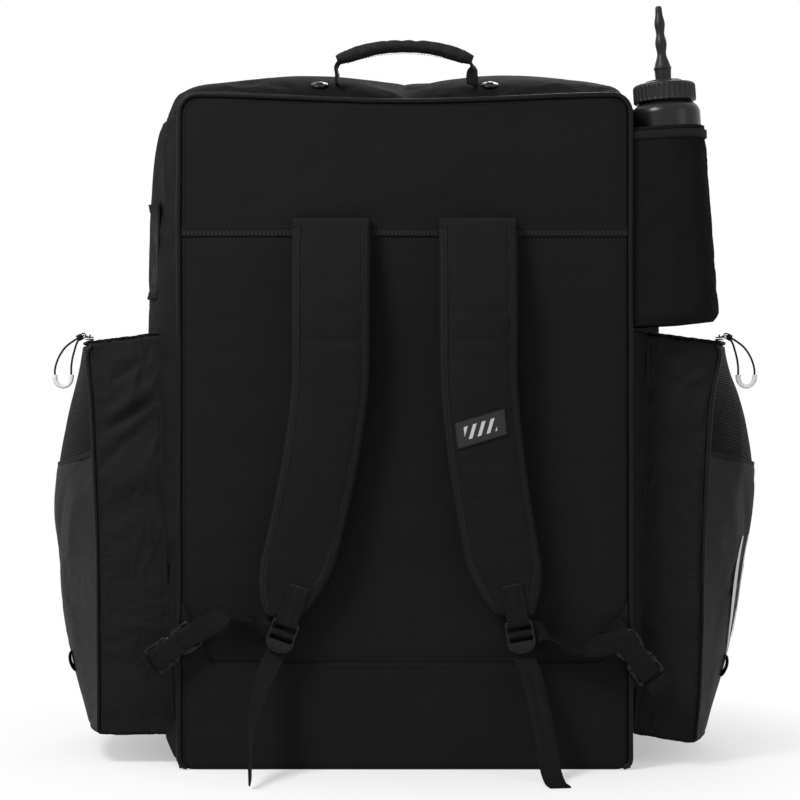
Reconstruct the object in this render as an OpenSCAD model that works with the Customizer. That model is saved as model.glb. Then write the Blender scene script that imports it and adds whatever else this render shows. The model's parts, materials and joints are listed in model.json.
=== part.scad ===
// Goalie equipment backpack: a tall soft box bag with a zipped front door, two padded
// shoulder straps, a zipped pocket on each side, a grab handle, and a bottle in a sleeve.
// +Z is up, the straps are on the -Y face, and the origin is the middle of the base.

/* [Bag body] */
// Width of the back panel between its piping centres
body_w = 520; // [460:5:580]
// Depth of the bag from its back face to its front face
body_d = 420; // [360:5:480]
// Height of the back panel at its piping centre
body_h = 775; // [720:5:860]
// Radius of the two top corners
corner_r = 20; // [18:1:50]
// Thickness of the padded side and top walls
wall_t = 4; // [3:0.5:6]
// How far the sides swell beyond the line from foot to shoulder
side_swell = 33; // [15:1:45]
// How far the walls stand out at the top corners
top_bulge = 31; // [15:1:40]
// How much higher the two crests of the top stand
crest_rise = 14; // [0:1:25]
// Radius of the piping round the back and the front
piping_r = 3; // [2:0.5:4]

/* [Back and base] */
// Thickness of the fabric skins
skin_t = 2; // [1.5:0.5:3]
// Thickness of the foam behind the back panel
foam_t = 10; // [6:1:14]
// Thickness of the plastic frame sheet and the base board
board_t = 2; // [1.5:0.5:4]
// Thickness of the base panel
base_t = 4; // [3:0.5:6]
// Height of the middle of the seam tape
tape_z = 620; // [560:5:660]
// Width of the seam tape
tape_w = 12; // [8:1:20]
// Thickness of the seam tape
tape_t = 1.2; // [0.8:0.1:2]

/* [Front door] */
// Width of the front door
door_w = 400; // [320:5:420]
// Height of the door's hinge line
door_foot_z = 60; // [50:1:90]
// Distance from the top of the door to the top of the bag
door_head = 60; // [50:1:100]
// Radius of the door's two top corners
door_r = 60; // [40:1:90]
// How far the door swells outward
door_swell = 22; // [8:1:30]
// Width of the zip round the door
zip_w = 12; // [10:1:16]
// Play between the door and its zip
door_gap = 0.4; // [0.3:0.1:1]

/* [Shoulder straps] */
// Height of the top end of the straps
strap_top_z = 632; // [600:1:700]
// Height of the lower end of the straps
strap_end_z = 180; // [150:1:220]
// Distance from the middle of the bag to each strap's upper stretch
strap_spread = 84; // [70:1:110]
// How far the left strap bends outward at its lower end
left_flare = 54; // [20:1:60]
// How far the right strap bends outward at its lower end
right_flare = 41; // [20:1:60]
// Width of the padded strap
strap_w = 88; // [70:1:100]
// Thickness of the padded strap
strap_t = 14; // [8:1:18]
// How far the strap bows off the back panel
strap_lift = 24; // [12:1:40]

/* [Webbing and buckles] */
// Width of the webbing
web_w = 25; // [20:1:30]
// Thickness of the webbing
web_t = 1.6; // [1.2:0.1:2.2]
// Width of a buckle's side rails
rail_w = 3; // [2:0.5:4]
// Thickness of a ladder lock
lock_t = 5; // [4:0.5:7]
// Length of a ladder lock below its hinge bar
lock_l = 36; // [30:1:44]
// Thickness of a side release buckle
buckle_t = 11; // [9:0.5:14]
// Length of a side release buckle from bar to bar
buckle_l = 56; // [50:1:66]
// Height of the corner tabs
tab_h = 76; // [60:1:90]
// Width of the corner tabs
tab_w = 38; // [30:1:60]
// Height of the lower seam of the back panel
seam_z = 121; // [100:1:140]

/* [Side pockets] */
// Height of the underside of the pockets
pocket_z = 40; // [30:1:80]
// Height of the pockets' walls
pocket_h = 449; // [380:1:500]
// How far the pockets' edges stand out from the back panel's edge
pocket_out = 96; // [80:1:120]
// How much further out those edges lean at the top
pocket_lean = 14; // [0:1:20]
// How far the pockets' outer faces swell between foot and zip
pocket_swell = 47; // [20:1:60]
// How far the pockets' zips bow outward in the middle
pocket_bow = 22; // [12:1:35]
// How far the pockets' foot bows outward in the middle
pocket_foot = 34; // [10:1:40]
// Depth of the pockets from back to front
pocket_d = 320; // [240:5:340]
// Distance from the back of the bag to the pockets
pocket_inset = 40; // [30:1:60]
// Thickness of the pockets' walls
pocket_t = 3; // [2:0.5:4]
// Height of the lower edge of the mesh
mesh_z = 362; // [300:1:400]
// Radius of the zip pulls' cord
cord_r = 1.2; // [1:0.1:1.5]

/* [Handles] */
// Distance between the legs of the grab handle
grab_w = 162; // [130:1:200]
// Height of the grab handle above the top of the back panel
grab_h = 67; // [60:1:90]
// Thickness of the grab handle's padded sleeve
grab_t = 14; // [10:1:18]
// Length of the side handle
side_handle_l = 112; // [90:1:140]
// Height of the middle of the side handle
side_handle_z = 600; // [550:5:640]
// Finger room behind the side handle
side_handle_gap = 7; // [5:1:20]

/* [Bottle] */
// Radius of the bottle
bottle_r = 40; // [34:0.5:42]
// Height of the bottle's body up to its neck
bottle_h = 257; // [230:1:265]
// Gap between the right pocket and the bottle sleeve above it
sleeve_gap = 11; // [8:1:30]
// Height of the bottle sleeve
sleeve_h = 230; // [180:1:240]
// Thickness of the bottle sleeve's knitted wall
sleeve_t = 2.4; // [1.5:0.1:3]
// How far the bottle leans towards the bag, in degrees
bottle_lean = 4; // [2:0.5:6]
// Radius of the bottle's cap
cap_r = 36.5; // [33:0.5:38]
// Height of the bottle's cap
cap_h = 22; // [18:1:28]
// Length of the drinking spout above the cap
spout_l = 91; // [60:1:110]

/* [Hidden] */
$fn = 48;

edge_x = body_w / 2;
back_y = -body_d / 2;
front_y = body_d / 2;
shoulder_z = body_h - corner_r;
// Clearance kept between soft pieces that lie on each other
rest_gap = 0.3;
fabric = [0.09, 0.09, 0.1];
webbing = [0.14, 0.14, 0.15];
plastic = [0.05, 0.05, 0.055];

// ---------- shared geometry ----------

function mix(a, b, t) = a + (b - a) * t;
function limited(t) = min(1, max(0, t));
function swell(t, power) = pow(max(0, sin(180 * t)), power);
function unit(v) = v / norm(v);
function steps(n) = [for (i = [0:n]) i / n];

// Two triangles for one cell of a grid whose rows hold cols points, from the index first
function cell(first, i, j, cols) =
  let (a = first + i * cols + j, b = a + cols)
  [[a, b, b + 1], [a, b + 1, a + 1]];

// A closed shell between two grids of points; the outer one is seen from outside with its
// rows going up and its columns going left to right
module shell(outer, inner) {
  rows = len(outer);
  cols = len(outer[0]);
  n = rows * cols;
  front = [for (i = [0:rows - 2], j = [0:cols - 2]) each cell(0, i, j, cols)];
  back = [for (i = [0:rows - 2], j = [0:cols - 2]) for (f = cell(n, i, j, cols)) [f[2], f[1], f[0]]];
  rim = concat(
    [for (j = [0:cols - 1]) j],
    [for (i = [1:rows - 1]) i * cols + cols - 1],
    [for (j = [cols - 2:-1:0]) (rows - 1) * cols + j],
    [for (i = [rows - 2:-1:1]) i * cols]
  );
  edge = [
    for (k = [0:len(rim) - 1])
      let (a = rim[k], b = rim[(k + 1) % len(rim)])
      each [[a, b, b + n], [a, b + n, a + n]]
  ];
  polyhedron(
    points = concat([for (row = outer) each row], [for (row = inner) each row]),
    faces = concat(front, back, edge),
    convexity = 10
  );
}

// A solid through a list of rings with the same number of points, closed at both ends. Both
// halves of a ring are cut along the same diagonal, so a thin twisted strap keeps its thickness
module loft(rings) {
  n = len(rings[0]);
  last = (len(rings) - 1) * n;
  sides = [
    for (i = [0:len(rings) - 2], j = [0:n - 1])
      let (a = i * n + j, b = i * n + (j + 1) % n)
      each j < n / 2 ? [[a, a + n, b + n], [a, b + n, b]] : [[a, a + n, b], [a + n, b + n, b]]
  ];
  caps = [for (j = [1:n - 2]) each [[0, j, j + 1], [last, last + j + 1, last + j]]];
  polyhedron(points = [for (r = rings) each r], faces = concat(sides, caps), convexity = 10);
}

function tangent(path, i) = unit(path[min(len(path) - 1, i + 1)] - path[max(0, i - 1)]);

// Rings of a flat strap along a path; widths lists the direction of its width at each point
function strap_rings(path, widths, width, thick) = [
  for (i = [0:len(path) - 1])
    let (
      along = tangent(path, i),
      across = unit(widths[i] - (widths[i] * along) * along) * width / 2,
      up = unit(cross(along, across)) * thick / 2
    )
    [path[i] - across - up, path[i] + across - up, path[i] + across + up, path[i] - across + up]
];

// A list with the middle of each pair of neighbours put between them
function halved(list) = [
  for (i = [0:2 * len(list) - 2])
    let (k = floor(i / 2))
    i % 2 == 0 ? list[k] : (list[k] + list[k + 1]) / 2
];

// Rings of a round tube along a path that never runs along this direction
tube_up = [1, 1, -1];
function tube_rings(path, radius, sides) = [
  for (i = [0:len(path) - 1])
    let (
      along = tangent(path, i),
      across = unit(cross(along, tube_up)),
      up = cross(along, across)
    )
    [for (k = [0:sides - 1])
      path[i] + radius * (cos(360 * k / sides) * across + sin(360 * k / sides) * up)]
];

// ---------- bag body ----------

depth_power = 0.6;
swell_power = 0.45;

function side_rise(z) =
  let (t = limited(z / shoulder_z))
  top_bulge * t + side_swell * swell(t, swell_power);
function crown(y) = swell((y - wall_start) / (wall_end - wall_start), depth_power);
// How far out the side wall's face is at a depth and a height
function side_x(y, z) = edge_x + side_rise(z) * crown(y);
top_half = edge_x - corner_r;
function top_rise(x) = top_bulge + crest_rise * sin(180 * limited(abs(x) / top_half));
// How high the top wall's face is at a place on the top
function top_face_z(x, y) = body_h + top_rise(x) * crown(y);

depth_steps = 12;
wall_start = back_y + piping_r;
wall_end = front_y - wall_t;
function wall_y(j) = mix(wall_start, wall_end, (1 - cos(180 * j / depth_steps)) / 2);

// Heights of the right pocket's lid and of the bottle sleeve above it
top_slope = 11;
lid_z = pocket_z + pocket_h + top_slope + pocket_t;
sleeve_z = lid_z + sleeve_gap;
ledge_z = sleeve_z - 4;

// The bottle lies in a dent in the right side wall, above a ledge
dent_d = 2 * bottle_r + 20;
dent_fade = 85;
function dent(y, z) = limited((z - lid_z) / (ledge_z - lid_z))
  * limited((back_y + dent_d + dent_fade - y) / dent_fade);

// One point of a side wall, seen as the left one; inset goes inward
function side_point(y, z, inset, dented) =
  let (rise = side_rise(z) * crown(y) * (dented ? 1 - dent(y, z) : 1))
  [-(edge_x + rise - inset), y, z];

module side_wall(dented) {
  heights = concat([for (t = steps(9)) lid_z * t],
    [for (t = steps(5)) mix(ledge_z, shoulder_z, t)]);
  shell(
    [for (z = heights) [for (j = [depth_steps:-1:0]) side_point(wall_y(j), z, 0, dented)]],
    [for (z = heights) [for (j = [depth_steps:-1:0]) side_point(wall_y(j), z, wall_t, dented)]]
  );
}

// One point of the top wall: turn is 0 to 1 along corner, top and corner
function arch_point(turn, y, inset, dented) =
  let (
    corner = turn < 0.2 ? turn / 0.2 : turn > 0.8 ? (1 - turn) / 0.2 : 1,
    side = turn < 0.5 ? -1 : 1,
    x0 = turn < 0.2 || turn > 0.8 ? side * top_half : mix(-top_half, top_half, (turn - 0.2) / 0.6),
    angle = 90 * corner,
    keep = dented && side > 0 ? mix(1 - dent(y, shoulder_z), 1, corner) : 1,
    radius = corner_r + top_rise(x0) * crown(y) * keep - inset
  )
  [x0 + side * radius * cos(angle), y, shoulder_z + radius * sin(angle)];

module back_panel() {
  color(fabric)
    translate([0, back_y + skin_t, 0]) rotate([90, 0, 0])
      linear_extrude(skin_t) panel_outline(piping_r);
}

// The outline of the back and front, drawn this far inside the piping's centre
module panel_outline(inset) {
  r = corner_r - inset;
  half = edge_x - inset;
  translate([-half, 0]) square([2 * half, shoulder_z]);
  translate([-top_half, shoulder_z - 1]) square([2 * top_half, r + 1]);
  for (side = [-1, 1])
    translate([side * top_half, shoulder_z]) circle(r);
}

module back_foam() {
  color([0.25, 0.25, 0.27])
    translate([0, back_y + skin_t + foam_t, 0]) rotate([90, 0, 0])
      linear_extrude(foam_t) intersection() {
        panel_outline(piping_r + wall_t + 2);
        translate([-edge_x, base_t]) square([body_w, body_h]);
      }
}

module frame_sheet() {
  color([0.7, 0.7, 0.68])
    translate([0, back_y + skin_t + foam_t + board_t, 0]) rotate([90, 0, 0])
      linear_extrude(board_t) intersection() {
        panel_outline(piping_r + wall_t + 6);
        translate([-edge_x, base_t]) square([body_w, body_h]);
      }
}

module left_side_panel() { color(fabric) side_wall(false); }
module right_side_panel() { color(fabric) mirror([1, 0, 0]) side_wall(true); }

module top_panel() {
  turns = concat([for (t = steps(3)) t * 0.2], [for (t = steps(10)) if (t > 0) 0.2 + t * 0.6],
    [for (t = steps(3)) if (t > 0) 0.8 + t * 0.2]);
  color(fabric) shell(
    [for (j = [0:depth_steps]) [for (t = turns) arch_point(t, wall_y(j), 0, true)]],
    [for (j = [0:depth_steps]) [for (t = turns) arch_point(t, wall_y(j), wall_t, true)]]
  );
}

module base_panel() {
  color(fabric)
    translate([-edge_x + wall_t, back_y + skin_t, 0])
      cube([body_w - 2 * wall_t, body_d - skin_t - wall_t, base_t]);
}

module base_board() {
  inside_y = back_y + skin_t + foam_t + board_t + 4;
  color([0.7, 0.7, 0.68])
    translate([-edge_x + wall_t + 8, inside_y, base_t])
      cube([body_w - 2 * wall_t - 16, front_y - wall_t - 6 - inside_y, board_t]);
}

module tube_arch(y) {
  for (side = [-1, 1]) {
    translate([side * edge_x, y, 0]) cylinder(r = piping_r, h = shoulder_z);
    translate([side * top_half, y, shoulder_z]) rotate([90, 0, 0])
      rotate([0, 0, side > 0 ? 0 : 90]) rotate_extrude(angle = 90)
        translate([corner_r, 0]) circle(piping_r);
  }
  translate([-top_half, y, body_h]) rotate([0, 90, 0]) cylinder(r = piping_r, h = 2 * top_half);
}

module back_piping() { color(plastic) tube_arch(back_y); }
module front_piping() { color(plastic) tube_arch(front_y); }

module seam_tape() {
  color(webbing)
    translate([-edge_x + piping_r, back_y - tape_t, tape_z - tape_w / 2])
      cube([body_w - 2 * piping_r, tape_t, tape_w]);
}

// ---------- front door ----------

door_top_z = body_h - door_head;

// The door's outline grown by an amount, in X and Z
module door_outline(grow, foot) {
  half = door_w / 2 + grow;
  r = door_r + grow;
  translate([-half, foot]) square([2 * half, door_top_z - door_r - foot]);
  translate([-door_w / 2 + door_r, door_top_z - door_r - 1])
    square([door_w - 2 * door_r, r + 1]);
  for (side = [-1, 1])
    translate([side * (door_w / 2 - door_r), door_top_z - door_r]) circle(r);
}

hinge_room = wall_t + 2;

module front_frame() {
  color(fabric)
    translate([0, front_y, 0]) rotate([90, 0, 0])
      linear_extrude(wall_t) difference() {
        panel_outline(piping_r);
        door_outline(zip_w, door_foot_z - hinge_room);
      }
}

function door_half(z) =
  let (up = limited((z - door_top_z + door_r) / door_r))
  door_w / 2 - door_r + door_r * sqrt(1 - up * up);

module front_door() {
  heights = concat(
    [for (t = steps(9)) mix(door_foot_z, door_top_z - door_r, t)],
    [for (a = [22.5:22.5:90]) door_top_z - door_r + door_r * sin(a)]
  );
  function face(z, t, y) =
    [mix(1, -1, t) * door_half(z), y + door_swell * swell(t, 0.6) *
      swell((z - door_foot_z) / (door_top_z - door_foot_z), 0.6), z];
  color(fabric) shell(
    [for (z = heights) [for (t = steps(12)) face(z, t, front_y)]],
    [for (z = heights) [for (t = steps(12)) face(z, t, front_y - wall_t)]]
  );
}

zip_t = 3;

module door_zip() {
  color(plastic)
    translate([0, front_y + 0.5, 0]) rotate([90, 0, 0])
      linear_extrude(zip_t) difference() {
        door_outline(zip_w, door_foot_z);
        door_outline(door_gap, door_foot_z - 1);
      }
}

slider_w = zip_w - 2;

module door_slider(side) {
  color([0.3, 0.3, 0.32])
    translate([side * (door_w / 2 + zip_w / 2 + door_gap / 2), front_y + 0.5 + rest_gap,
      door_top_z - door_r - 10]) {
      translate([-slider_w / 2, 0, -8]) cube([slider_w, 3, 16]);
      translate([-2, 3, -4]) cube([4, 2, 8]);
      translate([-3, 5, -30]) cube([6, 1.5, 34]);
    }
}

module left_door_slider() { door_slider(-1); }
module right_door_slider() { door_slider(1); }

// ---------- shoulder straps ----------

bend_z = 460;
function strap_x(z, side) =
  let (
    flare = side < 0 ? left_flare : right_flare,
    t = limited((bend_z - z) / (bend_z - strap_end_z))
  )
  side * (strap_spread + flare * pow(t, 1.5));
function strap_t_along(z) = (strap_top_z - z) / (strap_top_z - strap_end_z);
function strap_y(z) =
  let (t = strap_t_along(z))
  back_y - tape_t - rest_gap - strap_t / 2
    - strap_lift * sin(90 * limited(t / 0.3)) * (1 - 0.4 * t * t);
function strap_half(z) =
  let (t = limited((strap_end_z + 70 - z) / 70))
  strap_w / 2 - 2 * strap_t_along(z) - 0.24 * strap_w * t * t;

function rounded(a, power) = sign(a) * pow(abs(a), power);

module strap_pad(side) {
  color(fabric) loft([
    for (t = steps(18))
      let (z = mix(strap_end_z, strap_top_z, t), half = strap_half(z))
      [for (k = [0:11])
        let (a = 15 + 30 * k)
        [strap_x(z, side) + half * rounded(cos(a), 0.4), strap_y(z) + strap_t / 2 *
          rounded(sin(a), 0.5), z]]
  ]);
}

module left_strap_pad() { strap_pad(-1); }
module right_strap_pad() { strap_pad(1); }

// ---------- ladder locks, in their own frame: bar along X at the origin, lock hanging down ----------

bar_r = 2.2;
lock_half = web_w / 2 + 1 + rail_w;
lock_drop = 9;
left_tilt = 20;
right_tilt = -10;
lock_lean = atan((strap_y(strap_end_z) - strap_y(strap_end_z + 40)) / 40);
lock_y = strap_y(strap_end_z) - strap_t / 2 + bar_r;

function lock_tilt(side) = side < 0 ? left_tilt : right_tilt;
function lock_place(side) =
  [strap_x(strap_end_z, side) + (side < 0 ? 3 : 4), lock_y, strap_end_z - lock_drop];

module at_lock(side) {
  translate(lock_place(side)) rotate([0, lock_tilt(side), 0]) rotate([lock_lean, 0, 0])
    children();
}

// A point given in a lock's own frame, seen in the bag's frame
function from_lock(p, side) =
  let (
    a = lock_lean,
    q = [p[0], p[1] * cos(a) - p[2] * sin(a), p[1] * sin(a) + p[2] * cos(a)],
    b = lock_tilt(side)
  )
  lock_place(side) + [q[0] * cos(b) + q[2] * sin(b), q[1], -q[0] * sin(b) + q[2] * cos(b)];

module ladder_lock(side) {
  color(plastic) at_lock(side) {
    for (s = [-1, 1])
      translate([s > 0 ? lock_half - rail_w : -lock_half, -lock_t / 2, -lock_l + 8])
        cube([rail_w, lock_t, lock_l - 5]);
    rotate([0, 90, 0]) translate([0, 0, -lock_half]) cylinder(r = bar_r, h = 2 * lock_half);
    translate([-lock_half, -1.5, -15]) cube([2 * lock_half, 3, 4]);
    difference() {
      translate([-lock_half, -lock_t / 2, -lock_l]) cube([2 * lock_half, 3.4, lock_l - 22]);
      for (s = [-1, 1])
        translate([s * lock_half, 0, -lock_l]) rotate([90, 45, 0]) cube([9, 9, 20], center = true);
    }
  }
}

module left_ladder_lock() { ladder_lock(-1); }
module right_ladder_lock() { ladder_lock(1); }

patch_l = 48;

module strap_patch(side) {
  color(webbing) at_lock(side) {
    difference() {
      rotate([0, 90, 0]) translate([0, 0, -web_w / 2])
        cylinder(r = bar_r + rest_gap + web_t, h = web_w);
      rotate([0, 90, 0]) translate([0, 0, -web_w / 2 - 1])
        cylinder(r = bar_r + rest_gap, h = web_w + 2);
    }
    translate([-web_w / 2, -bar_r - rest_gap - web_t, 0]) cube([web_w, web_t, patch_l]);
  }
}

module left_strap_patch() { strap_patch(-1); }
module right_strap_patch() { strap_patch(1); }

// Free tails of the adjusting webbing, from the lock down to the floor: sideways and depth
// from the lock, the share of the lock's height, and the heading of the width in degrees
left_tail = [[-20, -3, 0.7, -10], [-28, -13, 0.57, -25], [-33.5, -33, 0.42, -55],
  [-35, -62, 0.27, -80], [-34.5, -92, 0.13, -90], [-34.5, -108, 0.083, -90]];
right_tail = [[14, -4, 0.68, 3], [22, -12, 0.48, 5], [29, -27, 0.27, 8], [33, -49, 0.09, 8],
  [37, -74, 0.014, 6], [41, -100, 0.008, 12]];
// How far behind the lock's bar the two straps of webbing pass
tail_y = 3.2;
anchor_y = 6.4;

function lock_width(side) = [cos(lock_tilt(side)), 0, -sin(lock_tilt(side))];

module strap_tail(side) {
  free = side < 0 ? left_tail : right_tail;
  foot = lock_place(side);
  path = concat([for (z = [-19, -30, -40]) from_lock([0, tail_y, z], side)],
    [for (p = free) [foot[0] + p[0], foot[1] + p[1], foot[2] * p[2]]]);
  widths = concat([for (i = [0:2]) lock_width(side)], [for (p = free) [cos(p[3]), sin(p[3]), 0]]);
  color(webbing) {
    loft(strap_rings(halved(path), halved(widths), web_w - 1, web_t));
    at_lock(side) {
      translate([-web_w / 2 + 0.5, -1.6 - web_t, -20]) cube([web_w - 1, web_t, 11]);
      translate([-web_w / 2 + 0.5, -1.6 - web_t, -20]) cube([web_w - 1, tail_y + 2.4 + web_t, web_t]);
    }
  }
}

module left_strap_tail() { strap_tail(-1); }
module right_strap_tail() { strap_tail(1); }

// ---------- side release buckles, in their own frame: male bar at the origin, female along +X ----------

buckle_half = web_w / 2 + 1.5 + rail_w;
buckle_y = back_y - piping_r - 3.6 - buckle_t / 2;
left_buckle = [-edge_x - 27, buckle_y, seam_z + 5];
right_buckle = [edge_x + 22, buckle_y, seam_z - 12];
left_heading = -36;
right_heading = -127;
prong_gap = 0.4;
plug_l = 20;

module at_buckle(side) {
  translate(side < 0 ? left_buckle : right_buckle)
    rotate([0, side < 0 ? left_heading : right_heading, 0]) children();
}

module buckle_male(side) {
  inner = buckle_half - rail_w;
  color(plastic) at_buckle(side) {
    rotate([0, 0, 0]) translate([0, 0, -buckle_half]) cylinder(r = 1.8, h = 2 * buckle_half);
    for (s = [-1, 1])
      translate([-2.5, -2.5, s > 0 ? inner : -buckle_half]) cube([14, 5, rail_w]);
    translate([10, -2.5, -buckle_half]) cube([plug_l - 10.4, 5, 2 * buckle_half]);
    for (s = [-1, 1])
      translate([plug_l - 1, -2, s * (inner - 4) - 2]) cube([22, 4, 4]);
    translate([plug_l - 1, -1.5, -1.5]) cube([16, 3, 3]);
  }
}

module buckle_female(side) {
  inner = buckle_half - rail_w;
  color(plastic) at_buckle(side) difference() {
    translate([plug_l, -buckle_t / 2, -buckle_half]) cube([buckle_l - plug_l + 3, buckle_t,
      2 * buckle_half]);
    translate([plug_l - 1, -2 - prong_gap, -inner + 1]) cube([25, 4 + 2 * prong_gap, 2 * inner - 2]);
    translate([buckle_l - 7, -buckle_t, -inner]) cube([6, 2 * buckle_t, 2 * inner]);
    for (s = [-1, 1])
      translate([plug_l + 12, 0, s * (buckle_half + 4.5)]) rotate([90, 0, 0])
        cylinder(r = 9, h = 2 * buckle_t, center = true);
  }
}

web_front = -buckle_t / 2 - 0.6;
web_reach = buckle_l - 17;

module buckle_webbing(side) {
  color(webbing) at_buckle(side) {
    translate([-3, web_front - web_t, -web_w / 2]) cube([web_reach + 3, web_t, web_w]);
    translate([-19, -4.8, -web_w / 2]) cube([16, 2 * web_t + 0.6, web_w]);
    translate([-5, web_front - web_t, -web_w / 2]) cube([2, 5, web_w]);
    translate([-5, -4.8, -web_w / 2]) cube([9, 2.6, web_w]);
  }
}

module left_buckle_male() { buckle_male(-1); }
module right_buckle_male() { buckle_male(1); }
module left_buckle_female() { buckle_female(-1); }
module right_buckle_female() { buckle_female(1); }
module left_buckle_webbing() { buckle_webbing(-1); }
module right_buckle_webbing() { buckle_webbing(1); }

// The direction of the webbing's width at a buckle, pointing up
function buckle_width(side) =
  let (b = side < 0 ? left_heading : right_heading) [sin(b), 0, cos(b)] * -side;

// A point given in a buckle's own frame, seen in the bag's frame
function from_buckle(p, side) =
  let (b = side < 0 ? left_heading : right_heading)
  (side < 0 ? left_buckle : right_buckle)
    + [p[0] * cos(b) + p[2] * sin(b), p[1], -p[0] * sin(b) + p[2] * cos(b)];

// Webbing that leaves sideways from behind the ladder lock, turns on its edge, and lies flat
// again at the buckle: how far along from lock to buckle, and how far above that line. The right
// one sags a little instead.
left_rise_points = [[0.13, 8], [0.27, 16], [0.42, 19], [0.6, 17], [0.78, 9]];
right_rise_points = [[0.13, 0], [0.27, -5], [0.42, -9], [0.6, -8], [0.78, -4]];

module anchor_webbing(side) {
  start = [for (x = [1, 15]) from_lock([side * x, anchor_y, -12], side)];
  face = web_front - web_t / 2;
  end = [for (x = [12, 0]) from_buckle([web_reach + rest_gap + x, face, 0], side)];
  rise_points = side < 0 ? left_rise_points : right_rise_points;
  path = concat(start, [for (p = rise_points) mix(start[1], end[0], p[0]) + [0, 0, p[1]]], end);
  upright = [sin(lock_tilt(side)), 0, cos(lock_tilt(side))];
  edge = [0, 1, 0];
  flat = buckle_width(side);
  widths = [upright, upright, mix(upright, edge, 0.5), edge, edge, mix(edge, flat, 0.6), flat, flat, flat];
  color(webbing) loft(strap_rings(halved(path), halved(widths), web_w, web_t));
}

module left_anchor_webbing() { anchor_webbing(-1); }
module right_anchor_webbing() { anchor_webbing(1); }

// The sewn triangle that carries the female buckle on a folded loop of webbing
module corner_tab(side) {
  loop_x = buckle_l + 3 + rest_gap;
  loop_l = 10;
  sewn_l = 22;
  sink = 0.5;
  floor_y = back_y - skin_t - buckle_y;
  color(fabric) {
    translate([0, back_y, seam_z]) rotate([90, 0, 0]) linear_extrude(skin_t)
      polygon([[side * (edge_x - piping_r - 0.2), 0], [side * (edge_x - piping_r - 0.2), tab_h],
        [side * (edge_x - tab_w), 0]]);
    at_buckle(side) {
      translate([loop_x, -web_t, -web_w / 2]) cube([loop_l, web_t, web_w]);
      translate([loop_x + loop_l - web_t, -web_t, -web_w / 2]) cube([web_t, floor_y + web_t - sink, web_w]);
      translate([loop_x, floor_y - web_t, -web_w / 2]) cube([sewn_l, web_t + sink, web_w]);
    }
  }
}

module left_corner_tab() { corner_tab(-1); }
module right_corner_tab() { corner_tab(1); }

// ---------- handles ----------

grab_y = back_y + 22;
grab_arc = 44;
grab_bend = grab_w / 2 / sin(grab_arc / 2);
// The handle turns about its legs' round feet
foot_r = web_w / 2;
grab_foot_z = top_face_z(grab_w / 2, grab_y) + foot_r * 1.1 + rest_gap;
grab_top_z = body_h + grab_h;
grab_depth = 30;

module grab_handle_sleeve() {
  color(fabric)
    translate([0, grab_y, grab_top_z - grab_bend]) rotate([90, 0, 0])
      rotate([0, 0, 90 - grab_arc / 2]) rotate_extrude(angle = grab_arc, $fn = 96)
        translate([grab_bend - grab_t / 2, 0]) {
          square([grab_t, grab_depth - grab_t], center = true);
          for (s = [-1, 1]) translate([0, s * (grab_depth - grab_t) / 2]) circle(grab_t / 2);
        }
}

module grab_handle_webbing() {
  end_z = grab_top_z - grab_bend + (grab_bend - grab_t / 2) * cos(grab_arc / 2);
  leg = grab_w / 2 - grab_t / 2 * sin(grab_arc / 2);
  color(webbing) for (side = [-1, 1])
    translate([side * leg - web_t, grab_y, grab_foot_z]) {
      translate([0, -web_w / 2, 0]) cube([2 * web_t, web_w, end_z - grab_foot_z - 4]);
      rotate([0, 90, 0]) cylinder(r = foot_r, h = 2 * web_t);
    }
}

module grab_handle_anchors() {
  disc_r = 10;
  disc_t = 2;
  boss_r = 4;
  x = grab_w / 2 + disc_r + 8;
  y = grab_y + 4;
  color(plastic) for (side = [-1, 1])
    translate([side * x, y, top_face_z(x, y) + rest_gap]) rotate([24, 0, 0]) {
      cylinder(r = disc_r, h = disc_t);
      cylinder(r = boss_r, h = 2 * disc_t);
    }
}

side_handle_w = 30;
side_handle_y = back_y + 62;

// The webbing handle on the left side, a strap held off the wall at its two ends
module side_handle() {
  half = side_handle_l / 2;
  function out(z) = -side_x(side_handle_y + side_handle_w / 2, z) - rest_gap;
  function strip(z, near, far) = [
    [out(z) - near, side_handle_y - side_handle_w / 2, z],
    [out(z) - near, side_handle_y + side_handle_w / 2, z],
    [out(z) - far, side_handle_y + side_handle_w / 2, z],
    [out(z) - far, side_handle_y - side_handle_w / 2, z]
  ];
  thick = 2 * web_t;
  color(webbing) {
    loft([for (t = steps(8))
      strip(side_handle_z + mix(-half, half, t), side_handle_gap, side_handle_gap + thick)]);
    for (s = [-1, 1])
      loft([for (t = [0, 1]) strip(side_handle_z + s * (half - 12) + mix(-12, 12, t), 0,
        side_handle_gap + 0.1)]);
  }
}

// ---------- side pockets, seen as the left one with X counted outward ----------

pocket_back = back_y + pocket_inset;
pocket_front = pocket_back + pocket_d;
pocket_top_z = pocket_z + pocket_h;
pocket_mid = (pocket_back + pocket_front) / 2;
// The zip runs on an arc round a point far inside the bag
arc_r = (pocket_d * pocket_d / 4 + pocket_bow * pocket_bow) / (2 * pocket_bow);

function pocket_edge(z) = edge_x + pocket_out + pocket_lean * pow(limited((z - pocket_z) / pocket_h), 3);
function pocket_rise(z) =
  let (t = limited((z - pocket_z) / pocket_h))
  mix(pocket_foot, pocket_bow, t) + pocket_swell * swell(t, 1);
// The share of its swell that the outer face has at a depth
function bow_share(y) =
  (sqrt(arc_r * arc_r - (y - pocket_mid) * (y - pocket_mid)) - arc_r + pocket_bow) / pocket_bow;
function wall_x(y, z) = side_x(y, z) + 2 * rest_gap;

// The outer face at depth y and height z
function outer_x(y, z) = pocket_edge(z) + pocket_rise(z) * bow_share(y);

pocket_cols = 12;
function pocket_y(j) = mix(pocket_back, pocket_front, (1 - cos(180 * j / pocket_cols)) / 2);
function inset_y(y) = min(pocket_front - pocket_t, max(pocket_back + pocket_t, y));

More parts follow.
